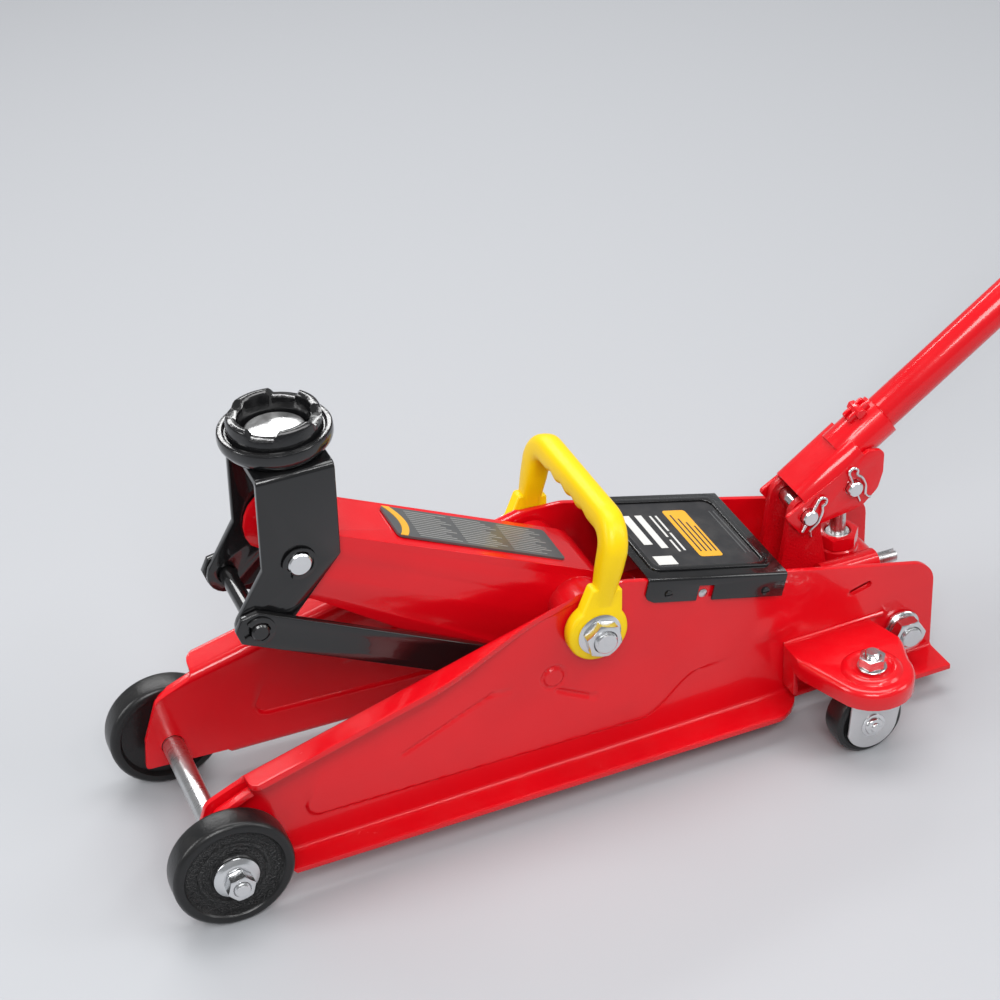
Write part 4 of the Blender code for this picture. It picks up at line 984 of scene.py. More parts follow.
def caster(side, word):
    """A shelf with its swivelling fork, wheel, bearing and kingpin nut."""
    king = joint_place(f"caster_{word}_swivel")
    roll = joint_place(f"caster_{word}_roll")
    shelf_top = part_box(f"caster_shelf_{word}")[1].z
    shelf = merged_copy(f"caster_shelf_{word}", f"caster_shelf_{word}_pressed")
    web = PLATE_HALF_WIDTH - (king.x - PIVOT.x) * math.tan(TOE_IN)
    # The shelf's rear edge runs slantwise from its round end to the side plate
    slant, slant_y, slant_span = 0.0105, 0.0765, 0.036
    for vertex in shelf.data.vertices:
        if vertex.co.x > king.x + 0.0150:
            vertex.co.x -= slant * min(1.0, max(0.0, (slant_y - abs(vertex.co.y)) / slant_span))
    bevel_folds(shelf, 0.0040, 60, lambda *ends: all(
        end.z > shelf_top - 1e-4 and abs(end.y) > web + 0.0030 for end in ends)
        and max((end.xy - king.xy).length for end in ends) > 0.012)
    soften(shelf, 0.0004, 2, 45)
    finish(shelf, "frame", "red enamel", [f"caster_shelf_{word}"])
    dish = in_mm([(4.6, 0.2), (4.6, 0.8), (9.4, 0.8), (10.4, 1.3), (12.2, 2.2), (14, 2.1), (15.4, 1.2),
                  (16.2, 0.3), (16.8, -0.2), (16.8, -1), (4.6, -1)])
    piece = turned(f"caster_dish_{word}", dish, "Z", (king.x, king.y, shelf_top), 64)
    finish(piece, "frame", "red enamel")
    ends = [(king.x + along, side * (web + 0.0002 - along * math.tan(TOE_IN)), shelf_top - 0.0003)
            for along in (-0.0315, 0.0, 0.0300)]
    bead = wire(f"caster_weld_{word}", ends, 0.0014)
    finish(bead, "frame", "red enamel")
    # Fork: a folded plate with rounded cheeks, an axle rivet on each side and its bearing cup
    half = 0.0083
    wall = 0.0018
    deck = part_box(f"caster_fork_{word}")[1].z
    foot = arc((roll.x, roll.z), 0.0150, 195, 345, 16)
    cheek = foot + [(king.x + 0.0145, deck - 0.006), (king.x + 0.0120, deck), (king.x - 0.0150, deck),
                    (king.x - 0.0165, deck - 0.006)]
    fork = plate(f"caster_fork_{word}_folded", cheek, -half - wall, half + wall)
    boolean(fork, box_piece("space", (king.x - 0.04, -half, -0.01), (king.x + 0.04, half, deck - wall)))
    boolean(fork, rod("hole", 0.0044, deck - 0.01, deck + 0.01, "Z", (king.x, 0, 0), 32))
    soften(fork, 0.0006, 2, 40)
    moved(fork, Matrix.Translation((0, king.y, 0)))
    finish(fork, f"caster_fork_{word}", "fork plate", [f"caster_fork_{word}"])
    for turn, end in ((-1, "outer"), (1, "inner")):
        base = half + wall
        head = in_mm([(0, 3.6), (2.2, 3.6), (2.6, 3.1), (2.8, 2.6), (4.6, 2.4), (5.2, 1.6), (5.3, 1),
                      (6.8, 0.8), (7, 0.3), (7, -0.5), (0, -0.5)], base)
        rivet = turned(f"caster_rivet_{word}_{end}", head, "Y", (roll.x, king.y, roll.z), 40, flip=turn < 0)
        finish(rivet, f"caster_fork_{word}", "zinc plate")
    pin = rod(f"caster_pin_{word}", 0.0030, -half, half, "Y", (roll.x, king.y, roll.z), 32)
    finish(pin, f"caster_fork_{word}", "zinc plate")
    tread = in_mm([(3.3, 0), (7.2, 0), (8.2, -1.4), (15.0, -1.4), (16.2, 0), (18.2, -0.2), (19.4, -1.2),
                   (20.0, -3.2)], 0.0075)
    tread += [(radius, -height) for radius, height in reversed(tread)]
    wheel = turned(f"caster_wheel_{word}_moulded", tread, "Y", (roll.x, king.y, roll.z), 80)
    finish(wheel, f"caster_wheel_{word}", "wheel rim black", [f"caster_wheel_{word}"])
    # Kingpin: washer below the shelf, nut, washer and screwed end above
    low = shelf_top + 0.0010
    spot = (king.x, king.y, 0)
    pieces = [rod("cup", 0.0095, deck + 0.0003, shelf_top - 0.0033, "Z", spot, 48, 0.0004),
              rod("washer", 0.0080, low, low + 0.0013, "Z", spot, 48, 0.0003)]
    stack = join(pieces, f"caster_bearing_{word}")
    finish(stack, "frame", "zinc plate")
    nut = hex_piece(f"caster_nut_{word}", 0.013, low + 0.0015, low + 0.0075, "Z", spot, 0.0041, 0.4)
    finish(nut, "frame", "zinc plate", [f"caster_kingpin_{word}"])
    stud = threaded(f"caster_stud_{word}", 0.0040, deck - 0.001, low + 0.0102, "Z", spot)
    finish(stud, "frame", "zinc plate")


class JACK_OT_casters(bpy.types.Operator):
    """Build both caster shelves, forks, wheels and kingpins"""

    bl_idname = "jack.casters"
    bl_label = "Casters"

    def execute(self, context):
        for side, word in SIDES:
            caster(side, word)
        return {"FINISHED"}


# ---------------------------------------------------------------------------------------------------------
# Lift arm, bracket, tie rods and saddle


def printed_bars(name, rows, height, thickness, matrix, body, finish_name):
    """Flat printed bars: each row is (along, across, length, width), joined into one piece."""
    pieces = []
    for along, across, length, width in rows:
        low = (along, across - width / 2, height)
        high = (along + length, across + width / 2, height + thickness)
        pieces.append(box_piece("bar", low, high))
    piece = join(pieces, name)
    moved(piece, matrix)
    finish(piece, body, finish_name)
    return piece


def lift_arm():
    """The pressed lift arm with its long bends rounded, its boss and its label."""
    arm = merged_copy("lift_arm", "lift_arm_pressed")
    moved(arm, ARM_FRAME.inverted())
    # The arm grows shallower towards its nose, which stops just past the bracket pin
    taper_start, lost_height, kept_nose = 0.030, 0.19, 0.72
    for vertex in arm.data.vertices:
        spot = vertex.co
        share = min(1.0, max(0.0, (-spot.x - taper_start) / (ARM_LENGTH - taper_start)))
        if spot.z > 0:
            spot.z *= 1 - lost_height * share
        if spot.x < -ARM_LENGTH:
            spot.x = -ARM_LENGTH + kept_nose * (spot.x + ARM_LENGTH)
    # The two long top edges take the wide bend; the rest only a small rounding
    half = 0.0212
    bevel_folds(arm, sizes().arm_bend, 50, lambda *ends: all(
        abs(abs(end.y) - half) < 1e-4 and (end.z > 0.0105 or end.x < -ARM_LENGTH - 0.006) for end in ends))
    boolean(arm, box_piece("nose opening", (-ARM_LENGTH - 0.030, -0.0181, -0.0300),
                           (-ARM_LENGTH + 0.0080, 0.0181, 0.0300)))
    moved(arm, ARM_FRAME)
    soften(arm, 0.0005, 2, 45)
    finish(arm, "lift_arm", "red enamel", ["lift_arm"], 40)
    # Label: grey film with an accent stripe at its front and rows of pale print
    top = 0.01965
    film = 0.00025
    lean = Matrix.Translation((-taper_start, 0, 0)) @ Matrix.Rotation(math.radians(-1.20), 4, "Y")
    place = ARM_FRAME @ lean @ Matrix.Translation((taper_start, 0, 0.0002))
    panel = rounded([(-0.1090, -0.0148, 0.003), (-0.1090, 0.0148, 0.003), (-0.0110, 0.0148, 0.002),
                     (-0.0110, -0.0148, 0.002)], 6)
    piece = plate("lift_arm_label", panel, top - 0.0012, top, "XY")
    finish(moved(piece, place), "lift_arm", "label grey")
    half_stripe = 0.0144
    bow = [(-0.1080 + 0.0045 * (1 - (y / half_stripe) ** 2), y)
           for y in (-half_stripe + 0.2 * half_stripe * step for step in range(11))]
    stripe = bow + [(x + 0.0042, y) for x, y in reversed(bow)]
    piece = plate("lift_arm_stripe", stripe, top, top + film, "XY")
    finish(moved(piece, place), "lift_arm", "label accent")
    rows = []
    for line in range(13):
        across = -0.0122 + 0.00203 * line
        for column in range(3):
            length = 0.0245 - 0.007 * ((line * 5 + column * 3) % 4) / 3
            rows.append((-0.0960 + 0.0275 * column, across, length, 0.0006))
    printed_bars("lift_arm_print", rows, top, film * 0.5, place, "lift_arm", "label fine print")
    # Crank pin with its roller
    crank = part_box("crank_pin")
    middle = (crank[0] + crank[1]) / 2
    pin = rod("crank_pin_bar", 0.0045, crank[0].y, crank[1].y, "Y", (middle.x, 0, middle.z), 40, 0.0005)
    roller = rod("crank_roller", 0.0070, -0.009, 0.009, "Y", (middle.x, 0, middle.z), 48, 0.0006)
    finish(join([pin, roller], "crank_pin_turned"), "lift_arm", "turned steel", ["crank_pin"])


def saddle_bracket():
    """The folded bracket, its pin, and the ring that holds it."""
    bracket = merged_copy("saddle_bracket", "saddle_bracket_folded")
    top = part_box("saddle_bracket")[1].z
    bevel_folds(bracket, 0.0036, 60, lambda start, end: min(start.z, end.z) > top - 1e-4
                and abs(start.y - end.y) < 1e-5, clamp=False)
    soften(bracket, 0.0007, 3, 40)
    finish(bracket, "saddle_bracket", "black enamel", ["saddle_bracket"], 40)
    spot = (BRACKET_PIN.x, 0, BRACKET_PIN.z)
    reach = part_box("bracket_pin")[1].y
    pin = rod("bracket_pin_turned", 0.006, -reach, reach, "Y", spot, 64, 0.0007)
    finish(pin, "saddle_bracket", "zinc plate", ["bracket_pin"])
    for side, word in SIDES:
        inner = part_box("saddle_bracket")[1].y + 0.0004
        retaining_ring(f"bracket_ring_{word}", 0.0061, 0.0088, side, inner, spot, "saddle_bracket",
                       f"bracket_pin_ring_{word}", 2.6)


def retaining_ring(name, bore, radius, side, inner, spot, body, node_name, opening):
    """An E-shaped spring ring with its open side turned to an angle in radians."""
    outline = arc((0, 0), radius, 28, 332, 30)
    outline += [(bore * 0.95, -0.0022)] + arc((0, 0), bore, 330, 262, 5)
    outline += arc((0, 0), bore * 1.16, 250, 196, 4) + arc((0, 0), bore, 188, 172, 2)
    outline += arc((0, 0), bore * 1.16, 164, 110, 4) + arc((0, 0), bore, 98, 30, 5) + [(bore * 0.95, 0.0022)]
    low, high = sorted((side * inner, side * (inner + 0.0010)))
    piece = plate(name, outline, low, high)
    soften(piece, 0.00018, 2, 40)
    moved(piece, Matrix.Translation((spot[0], 0, spot[2])) @ Matrix.Rotation(opening, 4, "Y"))
    finish(piece, body, "black enamel", [node_name])


def tie_rods():
    """Two flat tie rods, the long front pin, its rings and the rear studs."""
    body = "tie_rods"
    front = TIE_PIVOT + (BRACKET_PIN - PIVOT)
    spot = (front.x, 0, front.z)
    for side, word in SIDES:
        rounded_copy(f"tie_rod_{word}", f"tie_rod_{word}_flat", body, "black enamel", 0.0007, 3, 28)
        outer = max(abs(corner.y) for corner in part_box(f"tie_rod_{word}"))
        retaining_ring(f"tie_ring_{word}", 0.0047, 0.0080, side, outer + 0.0004, spot, body,
                       f"tie_rod_ring_{word}", 3.4)
        rounded_copy(f"tie_rod_stud_{word}", f"tie_stud_{word}_turned", "frame", "red enamel", 0.0005)
    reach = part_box("tie_rod_pin")[1].y
    pin = rod("tie_pin_turned", 0.0045, -reach, reach, "Y", spot, 48, 0.0008)
    finish(pin, body, "black enamel", ["tie_rod_pin"])


def saddle():
    """The saddle casting: a broad rim and four lugs, with the rivet's polished head inside."""
    base = SADDLE_AXIS.z
    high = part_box("saddle")[1]
    rim = 0.0120
    crown = high.z - base
    centre = (SADDLE_AXIS.x, 0, base)
    cup = [(0.0068, 0.0068), (0.0156, 0.0066), (0.0170, 0.0072), (0.0176, 0.0090), (0.0180, crown - 0.0016),
           (0.0186, crown - 0.0005), (0.0198, crown), (0.0216, crown), (0.0226, crown - 0.0005),
           (0.0231, crown - 0.0016), (0.0234, rim + 0.0004), (0.0237, rim - 0.0018), (0.0243, rim - 0.0018),
           (0.0247, rim - 0.0006), (0.0254, rim), (0.0272, rim), (0.0279, rim - 0.0006),
           (0.0282, rim - 0.0020), (0.0282, 0.0072), (0.0276, 0.0052), (0.0252, 0.0022), (0.0236, 0.0006),
           (0.0226, 0.0004), (0.0068, 0.0004)]
    piece = turned("saddle_cast", cup, "Z", centre, 128)
    for index in range(4):
        angle = math.radians(57 + 90 * index)
        notch = plate("notch", [(-0.0098, crown + 0.002), (-0.0058, rim + 0.0046), (0.0058, rim + 0.0046),
                                (0.0098, crown + 0.002)], 0.012, 0.034, "YZ")
        moved(notch, Matrix.Translation(centre) @ Matrix.Rotation(angle, 4, "Z"))
        boolean(piece, notch)
    soften(piece, 0.0005, 2, 32)
    finish(piece, "saddle", "saddle enamel", ["saddle"], 38)
    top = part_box("saddle_rivet")[1].z - base
    head = [(0, top - 0.0002), (0.0100, top), (0.0144, top), (0.0152, top - 0.0005), (0.0154, top - 0.0014),
            (0.0154, 0.0074), (0.0064, 0.0074), (0.0064, 0.0012), (0, 0.0012)]
    rivet = turned("saddle_rivet_head", head, "Z", centre, 96)
    finish(rivet, "saddle", "lapped steel", ["saddle_rivet"])


class JACK_OT_lift(bpy.types.Operator):
    """Build the lift arm, bracket, tie rods and saddle"""

    bl_idname = "jack.lift_linkage"
    bl_label = "Lift linkage"

    def execute(self, context):
        lift_arm()
        saddle_bracket()
        tie_rods()
        saddle()
        return {"FINISHED"}


# ---------------------------------------------------------------------------------------------------------
# Main pivot, cover and carry handle


def main_pivot():
    """The main shaft's screwed ends, nuts and flange washers."""
    spot = (PIVOT.x, 0, PIVOT.z)
    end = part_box("main_pivot_shaft")[1].y
    shoulder = 0.0385
    bar = rod("main_shaft_turned", 0.008, -shoulder, shoulder, "Y", spot, 48, 0.0006)
    finish(bar, "frame", "turned steel", ["main_pivot_shaft"])
    for side, word in SIDES:
        low, high = sorted((side * shoulder, side * end))
        finish(threaded(f"main_thread_{word}", 0.0060, low, high, "Y", spot), "frame", "zinc plate")
        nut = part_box(f"pivot_nut_{word}")
        inner, outer = sorted((abs(nut[0].y), abs(nut[1].y)))
        flange = in_mm([(6.3, 0), (11.5, 0), (11.8, 0.6), (10, 1.5), (6.3, 1.7)], inner)
        skirt = turned(f"pivot_flange_{word}", flange, "Y", spot, 56, flip=side < 0)
        finish(skirt, "frame", "zinc plate")
        low, high = sorted((side * (inner + 0.0013), side * outer))
        finish(hex_piece(f"pivot_hex_{word}", 0.0175, low, high, "Y", spot, 0.0061, 0.2 * side), "frame",
               "zinc plate", [f"pivot_nut_{word}"])


def cover():
    """The bent sheet cover with a raised border, its label, screws and rivet."""
    rounded_copy("cover", "cover_bent", "frame", "black enamel", 0.0005, 3, 30, 34)
    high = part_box("cover")[1]
    slope = math.radians(14.5)
    crest = max((vertex.co for vertex in frame["nodes"]["cover"].data.vertices), key=lambda spot: spot.z)
    length = (high.x - crest.x) / math.cos(slope) - 0.0010
    place = Matrix.Translation((crest.x, 0, high.z + 0.0001)) @ Matrix.Rotation(slope, 4, "Y")
    half = 0.0365

    def frame_outline(inset):
        return rounded([(0.0050 + inset, -half + inset, 0.005), (length - 0.0050 - inset, -half + inset, 0.005),
                        (length - 0.0050 - inset, half - inset, 0.005), (0.0050 + inset, half - inset, 0.005)], 8)

    border = plate("cover_border", frame_outline(0), -0.0006, 0.0012, "XY")
    boolean(border, plate("inner", frame_outline(0.0034), -0.01, 0.01, "XY"))
    soften(border, 0.0005, 3, 30)
    finish(moved(border, place), "frame", "black enamel")
    ground = plate("cover_label", frame_outline(0.0040), -0.0006, 0.00025, "XY")
    finish(moved(ground, place), "frame", "label ground")
    print_height, film = 0.00025, 0.00012
    bold = [(0.0120, -0.0262, 0.0115, 0.0085), (0.0130, 0.0050, 0.0052, 0.0300), (0.0215, 0.0030, 0.0042, 0.0340),
            (0.0300, 0.0080, 0.0012, 0.0220), (0.0300, -0.0120, 0.0012, 0.0120), (0.0335, 0.0110, 0.0012, 0.0160),
            (0.0335, -0.0080, 0.0012, 0.0180)]
    printed_bars("cover_print", bold, print_height, film, place, "frame", "label print")
    panel = rounded([(0.0400, -0.0240, 0.002), (0.0540, -0.0240, 0.002), (0.0540, 0.0240, 0.002),
                     (0.0400, 0.0240, 0.002)], 6)
    block = plate("cover_accent", panel, print_height, print_height + film, "XY")
    finish(moved(block, place), "frame", "label accent")
    lines = [(0.0425 + 0.0030 * row, -0.0020 * row, 0.0009, 0.0380 - 0.004 * row) for row in range(4)]
    printed_bars("cover_small_print", lines, print_height + film, film, place, "frame", "label ground")
    foot = [(length - 0.0140 + 0.0026 * row, 0.0, 0.0008, 0.0440) for row in range(2)]
    printed_bars("cover_foot_print", foot, print_height, film, place, "frame", "label grey")
    for side, word in SIDES:
        outer = high.y + 0.0002
        screw_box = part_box(f"cover_screw_{word}")
        middle = (screw_box[0] + screw_box[1]) / 2
        spots = [("rear", middle.x, middle.z, 0.0024), ("front", AXLE.x + 0.2500, 0.1065, 0.0022)]
        for index, (where, x, z, radius) in enumerate(spots):
            head = [(0, outer + 0.0009), (radius * 0.55, outer + 0.0009), (radius * 0.9, outer + 0.0006),
                    (radius, outer + 0.0001), (radius, outer - 0.0012), (0, outer - 0.0012)]
            screw = turned(f"cover_screw_{where}_{word}", head, "Y", (x, 0, z), 32, flip=side < 0)
            slit = box_piece("slit", (x - radius, side * (outer + 0.0005) - 0.0004, z - 0.0003),
                             (x + radius, side * (outer + 0.0005) + 0.0008, z + 0.0003))
            boolean(screw, slit)
            finish(screw, "frame", "black enamel", [f"cover_screw_{word}"] if index == 0 else ())
        rivet_y = PLATE_HALF_WIDTH - 0.064 * math.tan(TOE_IN)
        cap = in_mm([(0, 1.4), (1.4, 1.2), (2.4, 0.6), (2.7, 0), (2.7, -1), (0, -1)], rivet_y)
        rivet = turned(f"plate_rivet_{word}", cap, "Y", (AXLE.x + 0.2705, 0, 0.0995), 32, flip=side < 0)
        finish(rivet, "frame", "lapped steel")


def carry_handle():
    """The moulded handle: round eyes, tapering legs and a grip scalloped for four fingers."""
    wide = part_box("carry_handle")[1].y
    inner = wide - 0.0085
    reach = 0.0660
    depth = sizes().scallop
    fingers, span, boxiness = 4, 0.027, 0.72
    # Centre line: up one leg, round a corner, along the grip and down the other leg
    bend, leg_y, grip_z = 0.0130, wide - 0.0046, reach - 0.0078
    leg = [(leg_y, 0.0040 + 0.0030 * step) for step in range(12)]
    half_path = leg + arc((leg_y - bend, grip_z - bend), bend, 0, 90, 15)[1:]
    grip = [(y / 1000, grip_z) for y in range(36, -1, -1)]
    right = half_path + [spot for spot in grip if spot[0] < half_path[-1][0] - 0.0008]
    path = right + [(-y, z) for y, z in reversed(right[:-1])]
    rings = []
    for index, (y, z) in enumerate(path):
        before, after = Vector(path[max(index - 1, 0)]), Vector(path[min(index + 1, len(path) - 1)])
        along = (after - before).normalized()
        outward = Vector((along.y, -along.x))
        rise = fade(z, 0.012, 0.046)
        half_x = 0.0056 + 0.0014 * rise
        half_in = 0.0044 + 0.0035 * rise
        wave = 0.5 - 0.5 * math.cos(2 * math.pi * fingers * (y + span) / (2 * span)) if abs(y) < span else 0.0
        end = 0.0 if index in (0, len(path) - 1) else 1.0
        ring = []
        for step in range(28):
            angle = math.tau * step / 28
            cosine, sine = math.cos(angle), math.sin(angle)
            across = math.copysign(abs(cosine) ** boxiness, cosine) * half_x
            through = math.copysign(abs(sine) ** boxiness, sine) * half_in
            if sine < 0:
                # The inner side is a little flatter, because the legs swing back beside the cover
                through = through * 0.89 + depth * wave * abs(sine)
            spot = Vector((y, z)) + outward * through * end
            ring.append((across * end, spot.x, spot.y))
        rings.append(ring)
    body = loft("carry_handle_moulded", rings)
    for side, _ in SIDES:
        near, far = side * (inner - 0.0002), side * wide
        low_y, high_y = sorted((near, far))
        eye = [(0, low_y), (0.0150, low_y), (0.0160, low_y + 0.0006), (0.0165, low_y + 0.0020),
               (0.0165, high_y - 0.0022), (0.0160, high_y - 0.0008), (0.0150, high_y), (0, high_y)]
        boolean(body, turned("eye", eye, "Y", (0, 0, 0), 72), "UNION")
        collar = [(-0.0120, 0.0080), (-0.0086, 0.0250), (-0.0076, 0.0262), (0.0076, 0.0262), (0.0086, 0.0250),
                  (0.0120, 0.0080)]
        sleeve = plate("collar", collar, low_y + 0.0004, high_y - 0.0002)
        boolean(body, soften(sleeve, 0.0014, 4, 30), "UNION")
    boolean(body, rod("bore", 0.0064, -0.08, 0.08, "Y", (0, 0, 0), 40))
    lean = math.radians(13)
    moved(body, Matrix.Translation(PIVOT) @ Matrix.Rotation(lean, 4, "Y"))
    finish(body, "carry_handle", "yellow plastic", ["carry_handle"], 42)


class JACK_OT_pivot_and_cover(bpy.types.Operator):
    """Build the main pivot's nuts, the cover and the carry handle"""

    bl_idname = "jack.pivot_and_cover"
    bl_label = "Pivot, cover and carry handle"

    def execute(self, context):
        main_pivot()
        cover()
        carry_handle()
        return {"FINISHED"}


# ---------------------------------------------------------------------------------------------------------
# Hydraulic unit


def hydraulics():
    """Casting, reservoir, ram, pump, release valve and trunnion bolts."""
    rounded_copy("pump_base", "pump_base_cast", "frame", "red casting", 0.0009, 3, 32, 40)
    rounded_copy("reservoir", "reservoir_tube", "frame", "red enamel", 0.0012, 3, 40)
    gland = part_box("gland_nut")
    rod_low, rod_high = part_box("piston_rod")
    ram_z = (rod_low.z + rod_high.z) / 2
    ring = hex_piece("gland_hex", 0.030, gland[0].x, gland[1].x, "X", (0, 0, ram_z), 0.0085, math.pi / 6)
    finish(ring, "frame", "zinc plate", ["gland_nut"])
    rounded_copy("ram_head", "ram_head_block", "ram", "ground steel", 0.0012, 3)
    piston = rod("piston_rod_ground", 0.008, rod_low.x, rod_high.x, "X", (0, 0, ram_z), 56, 0.0006)
    finish(piston, "ram", "ground steel", ["piston_rod"])
    low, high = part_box("pump_cylinder")
    x = (low.x + high.x) / 2
    bore = 0.0073
    body = [(bore, low.z), (0.0112, low.z), (0.0115, low.z + 0.0004), (0.0115, high.z - 0.0090),
            (0.0105, high.z - 0.0082), (bore, high.z - 0.0082)]
    finish(turned("pump_cylinder_body", body, "Z", (x, 0, 0), 56), "frame", "red enamel")
    cap = hex_piece("pump_cylinder_hex", 0.021, high.z - 0.0080, high.z, "Z", (x, 0, 0), bore, 0.35)
    finish(cap, "frame", "red enamel", ["pump_cylinder"])
    low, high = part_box("pump_plunger")
    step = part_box("pump_cylinder")[1].z - 0.0008
    plunger = [(0, low.z), (0.0070, low.z), (0.0070, step - 0.0006), (0.0064, step), (0.0044, step),
               (0.0044, high.z - 0.0105), (0.0062, high.z - 0.0090), (0.0070, high.z - 0.0070),
               (0.0070, high.z - 0.0030), (0.0045, high.z), (0, high.z)]
    finish(turned("pump_plunger_turned", plunger, "Z", (x, 0, 0), 56), "pump_plunger",
           "ground steel", ["pump_plunger"])
    low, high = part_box("valve_sleeve")
    y, z = (low.y + high.y) / 2, (low.z + high.z) / 2
    tube = [(0, low.x), (0.0072, low.x), (0.0072, high.x - 0.0005), (0.0067, high.x), (0.0042, high.x),
            (0.0040, high.x - 0.0060), (0, high.x - 0.0060)]
    finish(turned("valve_sleeve_tube", tube, "X", (0, y, z), 48), "frame", "red enamel",
           ["valve_sleeve"])
    rounded_copy("valve_spindle", "valve_spindle_turned", "release_valve", "ground steel", 0.0004, 2, 40)
    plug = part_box("filler_plug")
    centre = (plug[0] + plug[1]) / 2
    nut = hex_piece("filler_hex", 0.0082, plug[0].z, plug[1].z, "Z", (centre.x, centre.y, 0))
    finish(nut, "frame", "zinc plate", ["filler_plug"])
    for side, word in SIDES:
        trunnion_bolt(side, word)


def trunnion_bolt(side, word):
    """A screwed stud with a thick washer, a spring washer and a nut outside the side plate."""
    low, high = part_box(f"trunnion_bolt_{word}")
    spot = ((low.x + high.x) / 2, 0, (low.z + high.z) / 2)
    inner, outer = sorted((abs(low.y), abs(high.y)))
    seat = PLATE_HALF_WIDTH - (spot[0] - PIVOT.x) * math.tan(TOE_IN) + 0.0006
    washer = in_mm([(6.2, 0), (10.4, 0), (10.8, 0.4), (10.8, 1.6), (10.4, 2), (6.2, 2)], seat)
    spring = in_mm([(6.2, 2.2), (9.2, 2.2), (9.2, 3.8), (6.2, 3.8)], seat)
    pieces = [turned("washer", washer, "Y", spot, 64, flip=side < 0),
              turned("spring", spring, "Y", spot, 64, flip=side < 0)]
    finish(join(pieces, f"trunnion_washers_{word}"), "frame", "zinc plate")
    ends = sorted((side * (seat + 0.0040), side * (seat + 0.0108)))
    nut = hex_piece(f"trunnion_nut_{word}", 0.0175, *ends, "Y", spot, 0.0061, 0.5)
    finish(nut, "frame", "zinc plate", [f"trunnion_bolt_{word}"])
    ends = sorted((side * inner, side * outer))
    finish(threaded(f"trunnion_stud_{word}", 0.0060, *ends, "Y", spot), "frame", "zinc plate")


class JACK_OT_hydraulics(bpy.types.Operator):
    """Build the pump base, reservoir, ram, pump and release valve"""

    bl_idname = "jack.hydraulics"
    bl_label = "Hydraulic unit"

    def execute(self, context):
        hydraulics()
        return {"FINISHED"}


# ---------------------------------------------------------------------------------------------------------
# Handle


def link_pin(word, body):
    """A headless pin with chamfered ends, its spring clip and the cross hole's wire."""
    low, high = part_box(f"{word}_pin")
    spot = Vector(((low.x + high.x) / 2, 0, (low.z + high.z) / 2))
    pin = rod(f"{word}_pin_turned", 0.0045, low.y, high.y, "Y", spot, 48, 0.0007)
    finish(pin, body, "zinc plate", [f"{word}_pin"])
    clip_y = low.y + 0.0018
    tilt = 0.5 if word == "fulcrum" else -0.35
    loop = arc((0.0026, 0.0105), 0.0026, 180, -60, 12)
    path = [(0.0, -0.0090), (0.0, -0.0040), (0.0, 0.0), (0.0, 0.0060), *loop, (0.0060, 0.0050),
            (0.0064, 0.0020), (0.0064, -0.0020), (0.0050, -0.0052), (0.0042, -0.0070), (0.0050, -0.0088),
            (0.0064, -0.0106)]
    clip = wire(f"{word}_clip_wire", [(x, 0, z) for x, z in path], 0.0008)
    moved(clip, Matrix.Translation((spot.x, clip_y, spot.z)) @ Matrix.Rotation(tilt, 4, "Y"))
    finish(clip, body, "zinc plate", [f"{word}_clip"])


def handle_socket():
    """The pressed socket with its locking lug and screw."""
    rounded_copy("handle_socket", "handle_socket_pressed", "handle_socket", "red enamel", 0.0009, 3, 32, 42)
    outline = rounded([(0.0500, 0.0160), (0.0500, 0.0205, 0.0015), (0.0640, 0.0205, 0.0015), (0.0640, 0.0160)], 4)
    lugs = [plate("socket_lug", outline, low, low + 0.0024) for low in (0.0012, -0.0036)]
    pair = soften(join(lugs, "socket_lugs"), 0.0004, 2)
    finish(moved(pair, HANDLE_FRAME), "handle_socket", "red enamel")
    screw = hex_piece("socket_screw", 0.0055, -0.0058, 0.0058, "Y", (0.0575, 0.0, 0.0182))
    finish(moved(screw, HANDLE_FRAME), "handle_socket", "red enamel")


def handle():
    """Two painted tubes with a rolled joint, and a ribbed rubber grip."""
    offset = 0.0048
    centre = (0, 0, offset)
    lower_end, tip = 0.2700, 0.4960
    tube = [(0.0084, 0.0375), (0.0097, 0.0375), (0.0100, 0.0380), (0.0100, lower_end - 0.0010),
            (0.0096, lower_end), (0.0084, lower_end)]
    piece = moved(turned("handle_lower_tube", tube, "X", centre, 72), HANDLE_FRAME)
    finish(piece, "handle", "red enamel", ["handle_lower"])
    tube = [(0.0084, lower_end + 0.0003), (0.0096, lower_end + 0.0003), (0.0100, lower_end + 0.0013),
            (0.0100, tip - 0.0030), (0.0084, tip - 0.0030)]
    piece = moved(turned("handle_upper_tube", tube, "X", centre, 72), HANDLE_FRAME)
    finish(piece, "handle", "red enamel", ["handle_upper"])
    start = tip - 0.1050
    profile = [(0.0103, start), (0.0126, start), (0.0136, start + 0.0015), (0.0136, start + 0.0060)]
    ribs = 18
    pitch = 0.0880 / ribs
    for index in range(ribs):
        foot = start + 0.0070 + index * pitch
        profile += [(0.0126, foot), (0.0126, foot + 0.30 * pitch), (0.0137, foot + 0.42 * pitch),
                    (0.0137, foot + 0.86 * pitch)]
    profile += [(0.0137, tip - 0.0060), (0.0130, tip - 0.0020), (0.0110, tip), (0, tip), (0, tip - 0.0016),
                (0.0103, tip - 0.0016)]
    piece = moved(turned("handle_grip_ribbed", profile, "X", centre, 72), HANDLE_FRAME)
    finish(piece, "handle", "grip rubber", ["handle_grip"])


class JACK_OT_handle(bpy.types.Operator):
    """Build the handle socket, its pins and the handle"""

    bl_idname = "jack.handle"
    bl_label = "Handle and socket"

    def execute(self, context):
        handle_socket()
        link_pin("fulcrum", "frame")
        link_pin("plunger", "handle_socket")
        handle()
        return {"FINISHED"}


# ---------------------------------------------------------------------------------------------------------
# Studio


